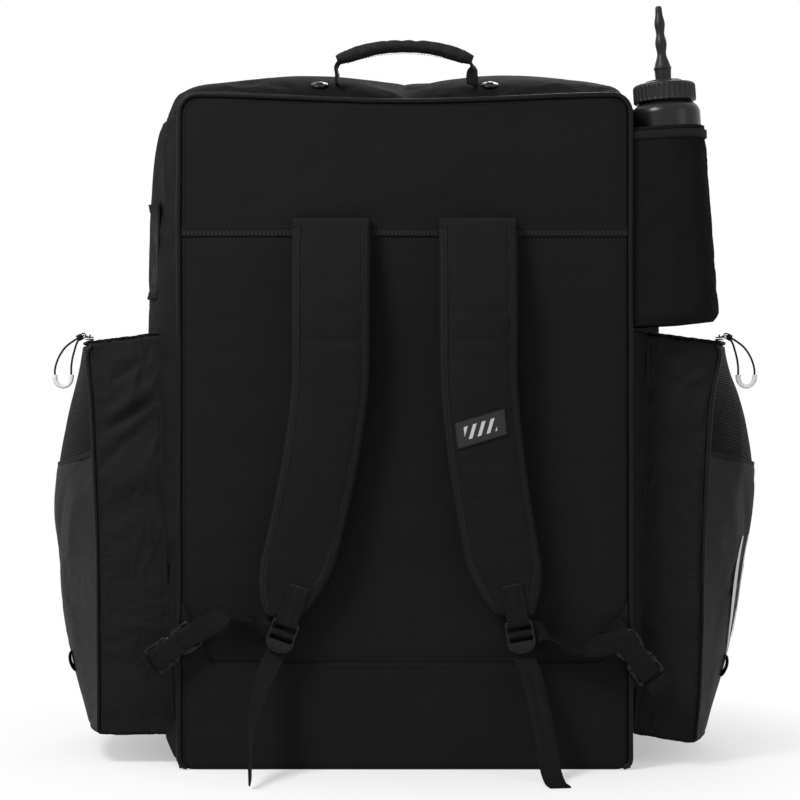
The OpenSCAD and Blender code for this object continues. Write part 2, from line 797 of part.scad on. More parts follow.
// Part of the outer face between two heights
module pocket_face(low, high, rows) {
  heights = [for (t = steps(rows)) mix(low, high, t)];
  shell(
    [for (z = heights) [for (j = [pocket_cols:-1:0]) [-outer_x(pocket_y(j), z), pocket_y(j), z]]],
    [for (z = heights) [for (j = [pocket_cols:-1:0])
      [-outer_x(pocket_y(j), z) + pocket_t, inset_y(pocket_y(j)), z]]]
  );
}

module pocket_gusset() {
  heights = [for (t = steps(12)) mix(pocket_z, pocket_top_z, t)];
  function x_at(y, z, t, inset) = -mix(wall_x(y, z), pocket_edge(z) - inset - rest_gap, t);
  shell(
    [for (z = heights) [for (t = [1, 0.66, 0.33, 0]) [x_at(pocket_back, z, t, 0), pocket_back, z]]],
    [for (z = heights) [for (t = [1, 0.66, 0.33, 0])
      [x_at(pocket_back + pocket_t, z, t, pocket_t), pocket_back + pocket_t, z]]]
  );
  shell(
    [for (z = heights) [for (t = [0, 0.33, 0.66, 1]) [x_at(pocket_front, z, t, 0), pocket_front, z]]],
    [for (z = heights) [for (t = [0, 0.33, 0.66, 1])
      [x_at(pocket_front - pocket_t, z, t, pocket_t), pocket_front - pocket_t, z]]]
  );
  slab(pocket_z - pocket_t, pocket_z - pocket_t, pocket_t, pocket_z);
}

// A level or sloping sheet from the bag's wall to the pocket's outline
module slab(wall_z, rim_z, thick, outline_z) {
  function at(j, t, lift) =
    let (y = pocket_y(j), x = mix(wall_x(y, wall_z), outer_x(y, outline_z), t))
    [-x, y, mix(wall_z, rim_z, t) + lift];
  shell(
    [for (t = steps(4)) [for (j = [0:pocket_cols]) at(j, t, thick)]],
    [for (t = steps(4)) [for (j = [0:pocket_cols]) at(j, t, 0)]]
  );
}

rim_z = pocket_top_z + 0.2;

module pocket_top() { slab(pocket_top_z + top_slope, rim_z, pocket_t, pocket_top_z); }

// Height of the lid's upper face this far inside its rim
function lid_face_z(y, inside) =
  let (rim = outer_x(y, pocket_top_z), wall = wall_x(y, pocket_top_z + top_slope))
  pocket_t + mix(rim_z, pocket_top_z + top_slope, inside / (rim - wall));

pocket_zip_w = 10;
pocket_zip_t = 1.6;

module pocket_zip() {
  loft([
    for (j = [1:pocket_cols - 1])
      let (
        y = pocket_y(j),
        rim = [-outer_x(y, pocket_top_z), y, lid_face_z(y, 0) + rest_gap],
        inner = [rim[0] + pocket_zip_w, y, lid_face_z(y, pocket_zip_w) + rest_gap],
        up = [0, 0, pocket_zip_t]
      )
      [rim, rim + up, inner + up, inner]
  ]);
}

module pocket_piping() {
  path = [for (t = steps(8)) let (z = mix(pocket_z - pocket_t, pocket_top_z, t))
    [-pocket_edge(z) - 1.8, pocket_back - 1.8, z]];
  loft(tube_rings(path, 2.4, 8));
}

// The zip slider rests at the back end of the zip, and its cord pull hangs outward
slider_y = pocket_y(2);
slider_turn = asin((pocket_mid - slider_y) / arc_r);
slider_r = arc_r - pocket_zip_w / 2;
arc_x = pocket_edge(pocket_top_z) + pocket_bow - arc_r;
eye_out = 8;
eye_up = 4.3;
slider_z = lid_face_z(pocket_mid, pocket_zip_w) + rest_gap + pocket_zip_t + rest_gap;

// Places children on the zip, with X along the arc's radius towards the bag
module at_slider() {
  translate([-arc_x, pocket_mid, slider_z]) rotate([0, 0, slider_turn]) translate([-slider_r, 0, 0])
    children();
}

module pocket_slider() {
  hole_r = cord_r + 0.9;
  color([0.3, 0.3, 0.32]) at_slider() {
    translate([-5, -7, 0]) cube([10, 14, 3]);
    translate([-eye_out, -1.5, 2]) cube([eye_out + 2, 3, 1]);
    difference() {
      translate([-eye_out, 1.5, eye_up + 1]) rotate([90, 0, 0]) cylinder(r = hole_r + 1.4, h = 3);
      translate([-eye_out, 3, eye_up + 1]) rotate([90, 0, 0]) cylinder(r = hole_r, h = 6);
    }
  }
}

// Route of the pull's cord from its sleeve up through the slider's eye and back, from the eye
cord_route = [[-33, 0, -46], [-33, 0, -41], [-31.5, -1, -33], [-27.5, -3, -23], [-21, -5.6, -13.5],
  [-13, -7, -7], [-6.5, -6.6, -3], [-2.2, -4.5, -1], [0, -1.5, 0], [0, 1.5, 0], [-1.6, 4.6, -1],
  [-4.6, 6.2, -4.4], [-7.4, 6, -10], [-10, 4.6, -18], [-12.4, 2.6, -27], [-13.8, 0.8, -36],
  [-14, 0, -41], [-14, 0, -46]];
sleeve_route = [[-33, 0, -46], [-33, 0, -50], [-31.5, 0, -55], [-28, 0, -58.5], [-23.5, 0, -59.8],
  [-19, 0, -58.5], [-15.5, 0, -55], [-14, 0, -50], [-14, 0, -46]];
pull_sleeve_r = 2.8;

module pull(route, radius) {
  at_slider() translate([-eye_out, 0, eye_up + 1]) loft(tube_rings(route, radius, 8));
}

module pull_cord() { color(plastic) pull(cord_route, cord_r); }
module pull_sleeve() { color([0.9, 0.9, 0.9]) pull(sleeve_route, pull_sleeve_r); }

module right_hand() { mirror([1, 0, 0]) children(); }

module left_pocket_gusset() { color(fabric) pocket_gusset(); }
module left_pocket_outer() { color(fabric) pocket_face(pocket_z, mesh_z, 10); }
module left_pocket_mesh() { color(webbing) pocket_face(mesh_z, pocket_top_z, 6); }
module left_pocket_top() { color(fabric) pocket_top(); }
module left_pocket_zip() { color(plastic) pocket_zip(); }
module left_pocket_piping() { color(plastic) pocket_piping(); }
module left_pocket_slider() { pocket_slider(); }
module left_pull_cord() { pull_cord(); }
module left_pull_sleeve() { pull_sleeve(); }
module right_pocket_gusset() { right_hand() left_pocket_gusset(); }
module right_pocket_outer() { right_hand() left_pocket_outer(); }
module right_pocket_mesh() { right_hand() left_pocket_mesh(); }
module right_pocket_top() { right_hand() left_pocket_top(); }
module right_pocket_zip() { right_hand() left_pocket_zip(); }
module right_pocket_piping() { right_hand() left_pocket_piping(); }
module right_pocket_slider() { right_hand() pocket_slider(); }
module right_pull_cord() { right_hand() pull_cord(); }
module right_pull_sleeve() { right_hand() pull_sleeve(); }

// ---------- bottle, in its own frame: base at the origin, axis along Z ----------

bottle_play = 1;
bottle_y = back_y + bottle_r + 8;
bottle_x = edge_x + bottle_r + 23;
neck_r = 30;
shoulder_h = 14;
bottle_wall = 1.6;

module at_bottle() {
  translate([bottle_x, bottle_y, sleeve_z + sleeve_t + 0.4]) rotate([0, -bottle_lean, 0])
    children();
}

module bottle_sleeve() {
  r = bottle_r + bottle_play;
  color(fabric) at_bottle() {
    difference() {
      translate([0, 0, -sleeve_t - 0.4]) cylinder(r1 = r + sleeve_t + 2, r2 = r + sleeve_t, h = sleeve_h);
      translate([0, 0, -0.4]) cylinder(r = r, h = sleeve_h + 10);
    }
  }
  // The strip that joins the sleeve to the bag's wall beside the back piping
  color(fabric) difference() {
    translate([edge_x + rest_gap, bottle_y - bottle_r, sleeve_z + 6])
      cube([bottle_x - bottle_r / 2 - edge_x, 2 * sleeve_t, sleeve_h - 14]);
    at_bottle() translate([0, 0, -9]) cylinder(r = r + 1, h = sleeve_h + 20);
  }
}

// Outline of half the bottle, outside then inside
module bottle_profile() {
  r = bottle_r;
  w = bottle_wall;
  difference() {
    bottle_half(r, bottle_h, neck_r, 0);
    bottle_half(r - w, bottle_h + 30, neck_r - w, w);
  }
}

module bottle_half(r, h, neck, lift) {
  side = bottle_h - shoulder_h;
  translate([0, lift]) square([r, side - lift]);
  intersection() {
    translate([0, side]) square([r, shoulder_h]);
    translate([r - shoulder_h, side]) circle(shoulder_h);
  }
  translate([0, side - 1]) square([r - shoulder_h + 0.01, shoulder_h + 1]);
  translate([0, side]) square([neck, h + 16 - side]);
}

module bottle_body() {
  color([0.1, 0.1, 0.11]) at_bottle() rotate_extrude($fn = 72) bottle_profile();
}

cap_play = 0.6;
stem_r = 9.4;
cap_floor = bottle_h + 1;

module bottle_cap() {
  ribs = 36;
  inside = cap_h - 4;
  color(plastic) at_bottle() translate([0, 0, cap_floor]) difference() {
    union() {
      cylinder(r = cap_r, h = cap_h - 3);
      translate([0, 0, cap_h - 3]) cylinder(r1 = cap_r, r2 = cap_r - 3, h = 3);
      cylinder(r = 22, h = cap_h + 3);
    }
    translate([0, 0, -1]) cylinder(r = neck_r + cap_play, h = inside + 1);
    cylinder(r = stem_r + 0.1, h = 2 * cap_h);
    for (k = [0:ribs - 1])
      rotate([0, 0, 360 * k / ribs]) translate([cap_r + 0.6, 0, -1]) cylinder(r = 1.4, h = cap_h - 3);
  }
}

spout_travel = 7;
stem_h = 14;
flange_h = 2;

// The spout: a stem through the cap, a flange, and a straw with two soft bulges
module drinking_spout() {
  base = cap_floor + cap_h + 3;
  color(plastic) at_bottle() {
    translate([0, 0, base - 14 - spout_travel]) cylinder(r = stem_r, h = 14 + spout_travel + stem_h);
    translate([0, 0, base + stem_h]) cylinder(r = stem_r + 1.1, h = flange_h);
    translate([0, 0, base + stem_h + flange_h]) straw();
  }
}

module straw() {
  l = spout_l - stem_h - flange_h - 3;
  rotate_extrude() polygon([[0, 0], [stem_r, 0], [7.9, l * 0.09], [6.2, l * 0.15], [5.3, l * 0.2],
    [5.3, l * 0.25], [6.1, l * 0.31], [7, l * 0.37], [6.4, l * 0.45], [5.1, l * 0.5], [4.7, l * 0.55],
    [5.2, l * 0.6], [6.2, l * 0.68], [6.3, l * 0.72], [5.4, l * 0.79], [4.1, l * 0.85], [4.1, l * 0.95],
    [2.6, l], [0, l]]);
}

// ---------- drawing ----------

back_panel();
back_foam();
frame_sheet();
left_side_panel();
right_side_panel();
top_panel();
base_panel();
base_board();
front_frame();
front_door();
door_zip();
left_door_slider();
right_door_slider();
back_piping();
front_piping();
seam_tape();
left_strap_pad();
left_strap_patch();
left_ladder_lock();
left_strap_tail();
left_anchor_webbing();
left_buckle_female();
left_buckle_male();
left_buckle_webbing();
left_corner_tab();
right_strap_pad();
right_strap_patch();
right_ladder_lock();
right_strap_tail();
right_anchor_webbing();
right_buckle_female();
right_buckle_male();
right_buckle_webbing();
right_corner_tab();
grab_handle_sleeve();
grab_handle_webbing();
grab_handle_anchors();
side_handle();
left_pocket_gusset();
left_pocket_outer();
left_pocket_mesh();
left_pocket_top();
left_pocket_zip();
left_pocket_piping();
left_pocket_slider();
left_pull_cord();
left_pull_sleeve();
right_pocket_gusset();
right_pocket_outer();
right_pocket_mesh();
right_pocket_top();
right_pocket_zip();
right_pocket_piping();
right_pocket_slider();
right_pull_cord();
right_pull_sleeve();
bottle_sleeve();
bottle_body();
bottle_cap();
drinking_spout();
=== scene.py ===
import json
import math
import bmesh
import bpy
import numpy as np
from mathutils import Matrix, Vector, noise
from mathutils.bvhtree import BVHTree

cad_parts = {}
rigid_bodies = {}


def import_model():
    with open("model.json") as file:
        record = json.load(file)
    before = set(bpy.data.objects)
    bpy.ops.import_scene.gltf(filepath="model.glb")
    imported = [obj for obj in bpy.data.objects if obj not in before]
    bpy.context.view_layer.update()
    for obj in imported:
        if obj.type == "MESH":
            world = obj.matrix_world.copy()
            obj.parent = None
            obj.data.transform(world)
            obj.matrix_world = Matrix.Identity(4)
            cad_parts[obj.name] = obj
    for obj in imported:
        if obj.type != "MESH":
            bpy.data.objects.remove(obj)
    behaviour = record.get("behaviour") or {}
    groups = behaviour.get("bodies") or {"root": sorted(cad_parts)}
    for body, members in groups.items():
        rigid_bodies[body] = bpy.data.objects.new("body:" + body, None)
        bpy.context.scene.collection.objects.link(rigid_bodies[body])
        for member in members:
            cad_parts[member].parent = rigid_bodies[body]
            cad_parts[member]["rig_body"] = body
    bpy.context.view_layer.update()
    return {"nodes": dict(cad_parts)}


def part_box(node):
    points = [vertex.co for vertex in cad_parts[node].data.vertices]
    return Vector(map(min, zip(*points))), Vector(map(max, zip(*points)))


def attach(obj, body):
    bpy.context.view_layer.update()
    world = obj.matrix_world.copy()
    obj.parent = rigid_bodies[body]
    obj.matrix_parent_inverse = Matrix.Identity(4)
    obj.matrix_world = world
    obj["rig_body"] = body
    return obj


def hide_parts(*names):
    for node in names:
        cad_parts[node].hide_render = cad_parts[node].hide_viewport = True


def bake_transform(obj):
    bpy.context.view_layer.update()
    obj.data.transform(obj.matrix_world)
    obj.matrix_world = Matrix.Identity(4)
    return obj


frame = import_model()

# A goalie equipment backpack, standing on its base and seen from its strap side. All lengths
# are metres. Side is -1 for the left half and 1 for the right half.

scene = bpy.context.scene
SIDES = {"left": -1, "right": 1}


def for_both_sides(*builders):
    for word, side in SIDES.items():
        for build in builders:
            build(word, side)


def low(node):
    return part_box(node)[0]


def high(node):
    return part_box(node)[1]


# ---------- sizes: from the frame's boxes, and the few that a box can't give ----------

piping_r = (high("back_piping").y - low("back_piping").y) / 2
edge_x = high("back_piping").x - piping_r
back_y = low("back_piping").y + piping_r
front_y = low("front_piping").y + piping_r
body_h = high("back_piping").z - piping_r
corner_r = 0.020
shoulder_z = body_h - corner_r
top_half = edge_x - corner_r
wall_start = back_y + piping_r
wall_end = high("left_side_panel").y
top_bulge = 0.031
side_swell = 0.033
crest_rise = 0.014
tape_z = (low("seam_tape").z + high("seam_tape").z) / 2
tape_w = high("seam_tape").z - low("seam_tape").z
tape_t = high("seam_tape").y - low("seam_tape").y
seam_z = 0.121
panel_foot = 0.0015
foot_r = 0.009
rest_gap = 0.0003
cloth_t = 0.0012
wall_t = 0.0035

ripstop_square = 0.0056
moulded_sharp = 38
web_w = 0.025
web_t = 0.0016

TO_STRAPS = np.array([0.0, -1.0, 0.0])
TO_DOOR = np.array([0.0, 1.0, 0.0])
UP = np.array([0.0, 0.0, 1.0])
# Stands a flat plate up, so that its own Y points up
STAND = Matrix.Rotation(math.pi / 2, 4, "X")


def limited(t):
    return np.clip(t, 0.0, 1.0)


def swell(t, power):
    return np.maximum(0.0, np.sin(np.pi * np.asarray(t, float))) ** power


def quarter(t):
    """A quarter circle's height, from 1 at 0 nearly down to 0 at 1."""
    return np.sqrt(1 - t * t * 0.999)


def mix(a, b, t):
    return a + (b - a) * t


# ---------- the bag's outer form ----------

def side_rise(z):
    t = limited(np.asarray(z, float) / shoulder_z)
    return top_bulge * t + side_swell * swell(t, 0.45)


def crown(y):
    return swell((np.asarray(y, float) - wall_start) / (wall_end - wall_start), 0.6)


def side_x(y, z):
    return edge_x + side_rise(z) * crown(y)


def top_rise(x):
    return top_bulge + crest_rise * np.sin(np.pi * limited(np.abs(x) / top_half))


def top_face_z(x, y):
    return body_h + top_rise(x) * crown(y)


lid_z = high("right_pocket_top").z
ledge_z = 0.510
dent_d = 0.100
dent_fade = 0.085


def dent(y, z):
    across = limited((back_y + dent_d + dent_fade - np.asarray(y, float)) / dent_fade)
    return limited((np.asarray(z, float) - lid_z) / (ledge_z - lid_z)) * across


def top_sag(x):
    """The back panel's top edge dips in the middle between the two crests."""
    return 0.002 - 0.0075 * (0.5 + 0.5 * np.cos(np.pi * np.asarray(x, float) / edge_x))


# ---------- the shoulder straps' form ----------

strap_top_z = high("left_strap_pad").z
strap_end_z = low("left_strap_pad").z
strap_spread = 0.084
strap_w = 0.088
strap_t = 0.014
strap_lift = 0.024
bend_z = 0.460
flare = {-1: 0.054, 1: 0.041}


def strap_x(z, side):
    t = limited((bend_z - np.asarray(z, float)) / (bend_z - strap_end_z))
    return side * (strap_spread + flare[side] * t ** 1.5)


def strap_y(z):
    t = (strap_top_z - np.asarray(z, float)) / (strap_top_z - strap_end_z)
    bow = np.sin(np.pi / 2 * limited(t / 0.3)) * (1 - 0.4 * t * t)
    return back_y - tape_t - rest_gap - strap_t / 2 - strap_lift * bow


def strap_half(z):
    z = np.asarray(z, float)
    t = limited((strap_end_z + 0.070 - z) / 0.070)
    share = (strap_top_z - z) / (strap_top_z - strap_end_z)
    return strap_w / 2 - 0.002 * share - 0.24 * strap_w * t * t


# ---------- the side pockets' form ----------

pocket_back = low("left_pocket_gusset").y
pocket_front = high("left_pocket_gusset").y
pocket_mid = (pocket_back + pocket_front) / 2
pocket_d = pocket_front - pocket_back
pocket_z = low("left_pocket_outer").z
pocket_top_z = high("left_pocket_mesh").z
pocket_h = pocket_top_z - pocket_z
mesh_z = low("left_pocket_mesh").z
pocket_t = pocket_z - low("left_pocket_gusset").z
pocket_out = 0.096
pocket_lean = 0.014
pocket_swell = 0.047
pocket_bow = 0.022
pocket_foot = 0.034
top_slope = 0.011
arc_r = (pocket_d ** 2 / 4 + pocket_bow ** 2) / (2 * pocket_bow)


def pocket_edge(z):
    return edge_x + pocket_out + pocket_lean * limited((np.asarray(z, float) - pocket_z) / pocket_h) ** 3


def pocket_rise(z):
    t = limited((np.asarray(z, float) - pocket_z) / pocket_h)
    return mix(pocket_foot, pocket_bow, t) + pocket_swell * swell(t, 1)


def bow_share(y):
    d = np.asarray(y, float) - pocket_mid
    return (np.sqrt(arc_r ** 2 - d * d) - arc_r + pocket_bow) / pocket_bow


def outer_x(y, z):
    return pocket_edge(z) + pocket_rise(z) * bow_share(y)


def wall_x(y, z):
    return side_x(y, z) + 2 * rest_gap


# ---------- mesh helpers ----------

def xyz(*parts):
    """Points from their coordinates; any of these may be one number for all the points."""
    return np.stack(np.broadcast_arrays(*parts), -1)


def make(name, points, faces, uvs=None):
    """A mesh object from points and faces; uvs holds one pair for each corner of each face."""
    mesh = bpy.data.meshes.new(name)
    mesh.from_pydata([tuple(p) for p in np.asarray(points, float)], [], [list(f) for f in faces])
    if uvs is not None:
        layer = mesh.uv_layers.new(name="UVMap")
        layer.data.foreach_set("uv", np.asarray(uvs, np.float32).ravel())
    mesh.polygons.foreach_set("use_smooth", [True] * len(mesh.polygons))
    obj = bpy.data.objects.new(name, mesh)
    scene.collection.objects.link(obj)
    return obj


def reach(points, axis):
    """How far along the cloth each row or column of a grid lies, in metres."""
    step = np.linalg.norm(np.diff(points, axis=axis), axis=2)
    return np.concatenate([[0.0], np.cumsum(step.mean(axis=1 - axis))])


def grid(name, points, wrap=False, flip=False, caps=False):
    """A sheet of quads through rows x columns of points, with UVs in metres. Rows go up and
    columns go left to right as seen from its outer side; flip turns that round."""
    points = np.asarray(points, float)
    rows, cols = points.shape[:2]
    closed = np.concatenate([points, points[:, :1]], axis=1) if wrap else points
    u, v = reach(closed, 1), reach(points, 0)
    i, j = [a.ravel() for a in np.meshgrid(np.arange(rows - 1), np.arange(closed.shape[1] - 1),
                                           indexing="ij")]
    jn = (j + 1) % cols
    quads = np.stack([i * cols + j, i * cols + jn, (i + 1) * cols + jn, (i + 1) * cols + j], 1)
    uv = np.stack([np.stack([u[j], u[j + 1], u[j + 1], u[j]], 1),
                   np.stack([v[i], v[i], v[i + 1], v[i + 1]], 1)], 2)
    if flip:
        quads, uv = quads[:, ::-1], uv[:, ::-1]
    faces, corners = quads.tolist(), uv.reshape(-1, 2).tolist()
    if caps:
        for ring in (list(range(cols)), list(range((rows - 1) * cols, rows * cols))):
            faces.append(ring)
            corners += [(0.002 * math.cos(k), 0.002 * math.sin(k)) for k in range(cols)]
    obj = make(name, points.reshape(-1, 3), faces, corners)
    if caps:
        face_outward(obj)
    return obj


def oriented(points, side):
    """Turns a grid's columns round on the left side, so that it still faces outward."""
    return points if side > 0 else points[:, ::-1]


def coords(mesh):
    """A mesh's points as rows of three."""
    co = np.zeros(len(mesh.vertices) * 3, np.float32)
    mesh.vertices.foreach_get("co", co)
    return co.reshape(-1, 3)


def face_outward(obj):
    work = bmesh.new()
    work.from_mesh(obj.data)
    bmesh.ops.recalc_face_normals(work, faces=work.faces)
    work.to_mesh(obj.data)
    work.free()


def join(name, objs, sharp=None):
    """Several meshes as one object; sharp is the angle in degrees past which an edge is sharp."""
    points, faces, uvs = [], [], []
    for o in objs:
        mesh = o.data
        at = len(points)
        points += [tuple(o.matrix_world @ v.co) for v in mesh.vertices]
        faces += [[at + k for k in p.vertices] for p in mesh.polygons]
        layer = mesh.uv_layers.active
        uvs += [tuple(d.uv) for d in layer.data] if layer else [(0.0, 0.0)] * len(mesh.loops)
        bpy.data.objects.remove(o)
    whole = make(name, points, faces, uvs)
    if sharp:
        whole.data.set_sharp_from_angle(angle=math.radians(sharp))
    return whole


def thicken(obj, thickness, offset=-1.0):
    m = obj.modifiers.new("thickness", "SOLIDIFY")
    m.thickness = thickness
    m.offset = offset
    m.use_even_offset = False
    return obj


def even(path, count):
    """The same path with its points spread evenly along it."""
    path = np.asarray(path, float)
    s = np.concatenate([[0.0], np.cumsum(np.linalg.norm(np.diff(path[:, :3], axis=0), axis=1))])
    t = np.linspace(0, s[-1], count)
    return np.stack([np.interp(t, s, path[:, k]) for k in range(path.shape[1])], 1)


def curve_through(points, count):
    """A smooth curve through a few points, as count points spread evenly along it."""
    p = np.asarray(points, float)
    p = np.vstack([2 * p[0] - p[1], p, 2 * p[-1] - p[-2]])
    t = np.linspace(0, 1, 24, endpoint=False)[:, None]
    parts = []
    for a, b, c, d in zip(p, p[1:], p[2:], p[3:]):
        parts.append(0.5 * (2 * b + (c - a) * t + (2 * a - 5 * b + 4 * c - d) * t ** 2
                            + (3 * b - a - 3 * c + d) * t ** 3))
    return even(np.vstack(parts + [p[-2][None]]), count)


def unit(v):
    v = np.asarray(v, float)
    return v / np.maximum(np.linalg.norm(v, axis=-1, keepdims=True), 1e-12)


def tangents(path):
    return unit(np.gradient(np.asarray(path, float), axis=0))


def carried(path, start):
    """Directions across a path, carried along it without twist from a first direction."""
    along = tangents(path)
    across = [unit(start - along[0] * np.dot(start, along[0]))]
    for t in along[1:]:
        a = across[-1] - t * np.dot(across[-1], t)
        across.append(unit(a))
    return np.array(across)


def sweep(name, path, across, profile):
    """A solid with this closed profile along a path. Profile points are (across, up) pairs, the
    same for every ring or one list for each ring; across is one direction, or one for each ring."""
    path, along = np.asarray(path, float), tangents(path)
    across = np.broadcast_to(across, path.shape)
    across = unit(across - along * np.sum(across * along, axis=1, keepdims=True))
    up = np.cross(along, across)
    profile = np.asarray(profile, float)
    if profile.ndim == 2:
        profile = np.repeat(profile[None], len(path), axis=0)
    rings = path[:, None] + profile[..., :1] * across[:, None] + profile[..., 1:] * up[:, None]
    return grid(name, rings, wrap=True, caps=True)


def round_profile(radius, sides=12):
    a = np.linspace(0, 2 * np.pi, sides, endpoint=False)
    return np.stack([radius * np.cos(a), radius * np.sin(a)], 1)


def flat_profile(width, thick, crest=0.0):
    """A webbing's section: flat faces, thin rounded selvedges."""
    half = width / 2
    across = np.array([-1, -0.97, -0.88, -0.6, -0.2, 0.2, 0.6, 0.88, 0.97, 1]) * half
    height = np.array([0.25, 0.75, 1, 1, 1, 1, 1, 1, 0.75, 0.25]) * thick / 2
    height = height + crest * (1 - (across / half) ** 2)
    top = np.stack([across, height], 1)
    bottom = np.stack([across[::-1], -height[::-1]], 1)
    return np.vstack([top, bottom])


def tube(name, path, radius, sides=12, start=(0.3, 0.2, 1.0)):
    path = np.asarray(path, float)
    return sweep(name, path, carried(path, np.asarray(start, float)), round_profile(radius, sides))


def band(name, points, widths, width=web_w, thick=web_t, count=60):
    """Flat webbing through a few points; widths gives the direction of its width, at each or at all."""
    points = np.asarray(points, float)
    both = curve_through(np.hstack([points, np.broadcast_to(widths, points.shape)]), count)
    return sweep(name, both[:, :3], unit(both[:, 3:]), flat_profile(width, thick))


def wavy(points, size, seed):
    """Smooth noise from -1 to 1 at each point; size is the width of a wave."""
    flat = np.asarray(points, float).reshape(-1, 3) / size + seed * 7.31
    made = np.array([noise.noise(Vector(p)) for p in flat])
    return made.reshape(np.asarray(points).shape[:-1])


def rough(points, size, seed, octaves=3):
    total, share = 0.0, 1.0
    for k in range(octaves):
        total = total + share * wavy(points, size / 2 ** k, seed + k)
        share *= 0.5
    return total


def inside_edges(shape, margin=0.08):
    """0 along a sheet's border, rising smoothly to 1 inside it."""
    def ramp(n):
        t = np.linspace(0, 1, n)
        d = limited(np.minimum(t, 1 - t) / margin)
        return d * d * (3 - 2 * d)
    return ramp(shape[0])[:, None] * ramp(shape[1])[None, :]


def grid_normals(points):
    du, dv = np.gradient(points, axis=1), np.gradient(points, axis=0)
    return unit(np.cross(du, dv))


def unevened(points, margin, depth, size, seed):
    """The same sheet with soft unevenness inside its border."""
    inner = inside_edges(points.shape[:2], margin)[..., None]
    return points + grid_normals(points) * inner * depth * rough(points, size, seed)[..., None]


def crumple(obj, growth=0.02, pressure=0.0, frames=18, cap=0.006, pins=None, bending=0.5):
    """Lets cloth that is a little too big for its frame buckle, with its border held still."""
    mesh = obj.data
    rest = coords(mesh)
    held = obj.vertex_groups.new(name="held")
    if pins is None:
        edges = {}
        for p in mesh.polygons:
            for key in p.edge_keys:
                edges[key] = edges.get(key, 0) + 1
        border = sorted({v for key, n in edges.items() if n == 1 for v in key})
        held.add(border, 1.0, "REPLACE")
    else:
        for level in sorted(set(np.round(pins, 1))):
            if level > 0:
                chosen = np.nonzero(np.round(pins, 1) == level)[0].tolist()
                held.add(chosen, float(level), "REPLACE")
    m = obj.modifiers.new("cloth", "CLOTH")
    s = m.settings
    s.quality = 4
    s.mass = 0.2
    s.tension_stiffness = s.compression_stiffness = 12
    s.shear_stiffness = 6
    s.bending_stiffness = bending
    s.air_damping = 3
    s.shrink_min = -growth
    s.shrink_max = -growth
    s.vertex_group_mass = "held"
    s.effector_weights.gravity = 0
    if pressure:
        s.use_pressure = True
        s.uniform_pressure_force = pressure
    m.collision_settings.use_collision = False
    m.collision_settings.use_self_collision = False
    m.point_cache.frame_start = 1
    m.point_cache.frame_end = frames
    for f in range(1, frames + 1):
        scene.frame_set(f)
    done = obj.evaluated_get(bpy.context.evaluated_depsgraph_get())
    shift = coords(done.to_mesh()) - rest
    done.to_mesh_clear()
    far = np.linalg.norm(shift, axis=1, keepdims=True)
    shift *= np.tanh(far / cap) * cap / np.maximum(far, 1e-9)
    obj.modifiers.remove(m)
    obj.vertex_groups.clear()
    scene.frame_set(1)
    mesh.vertices.foreach_set("co", (rest + shift).ravel())
    mesh.update()
    return obj


def capsule():
    """A stitch of unit length along X, with unit radius across."""
    ends = [(-0.5, 0.0), (-0.46, 0.6), (-0.3, 1.0), (0.3, 1.0), (0.46, 0.6), (0.5, 0.0)]
    sides = 6
    points = [(x, r * math.cos(2 * math.pi * k / sides), r * math.sin(2 * math.pi * k / sides))
              for x, r in ends[1:-1] for k in range(sides)]
    rows = len(ends) - 2
    faces = [(i * sides + k, (i + 1) * sides + k, (i + 1) * sides + (k + 1) % sides,
              i * sides + (k + 1) % sides) for i in range(rows - 1) for k in range(sides)]
    faces.append(tuple(range(sides)))
    faces.append(tuple((rows - 1) * sides + k for k in reversed(range(sides))))
    return np.array(points), faces


def capsules(name, places, size, uv_step=0.0):
    """Many small capsules as one mesh; a place is a middle and a capsule's three directions."""
    shape, faces = capsule()
    points, all_faces = [], []
    for middle, axes in places:
        first = len(points)
        points += (middle + shape * size @ np.stack(axes)).tolist()
        all_faces += [[first + q for q in f] for f in faces]
    return make(name, points, all_faces, [(uv_step * c, 0.0) for f in all_faces for c in range(len(f))])


def stitches(name, rows, pitch=0.0036, length=0.0027, radius=0.00032, lift=0.0):
    """Rows of sewn stitches. A row is (path, normals): points and the cloth's outward normals."""
    places = []
    for path, normals in rows:
        both = np.hstack([np.asarray(path, float), np.broadcast_to(normals, np.shape(path))])
        total = np.linalg.norm(np.diff(both[:, :3], axis=0), axis=1).sum()
        count = max(2, int(total / pitch))
        at = even(both, 2 * count + 1)
        for a, mid, b in zip(at[0::2], at[1::2], at[2::2]):
            x = unit(b[:3] - a[:3])
            z = unit(mid[3:] - x * np.dot(mid[3:], x))
            places.append((mid[:3] + lift * z, (x, np.cross(z, x), z)))
    return capsules(name, places, [length, radius * 1.3, radius], 0.001)


def surface_of(obj):
    mesh = obj.data
    return BVHTree.FromPolygons([v.co for v in mesh.vertices], [p.vertices for p in mesh.polygons])


def laid_on(points, surface, lift):
    """The same points, moved along Y onto a surface as it is seen from the back."""
    made = np.array(points, float)
    for p in made.reshape(-1, 3):
        hit = surface.ray_cast(Vector((p[0], p[1] - 0.05, p[2])), Vector((0, 1, 0)))[0]
        if hit is not None:
            p[1] = hit.y - lift
    return made


def folds(across, up, lines):
    """Folds along short lines in a cloth: each line is its two ends, its width and its height."""
    total = 0.0
    for x1, z1, x2, z2, width, height in lines:
        length = math.hypot(x2 - x1, z2 - z1)
        a, b = (x2 - x1) / length, (z2 - z1) / length
        t = ((across - x1) * a + (up - z1) * b) / length
        off = (across - x1) * b - (up - z1) * a
        total = total + height * np.exp(-(off / width) ** 2) * swell(limited(t), 0.7)
    return total


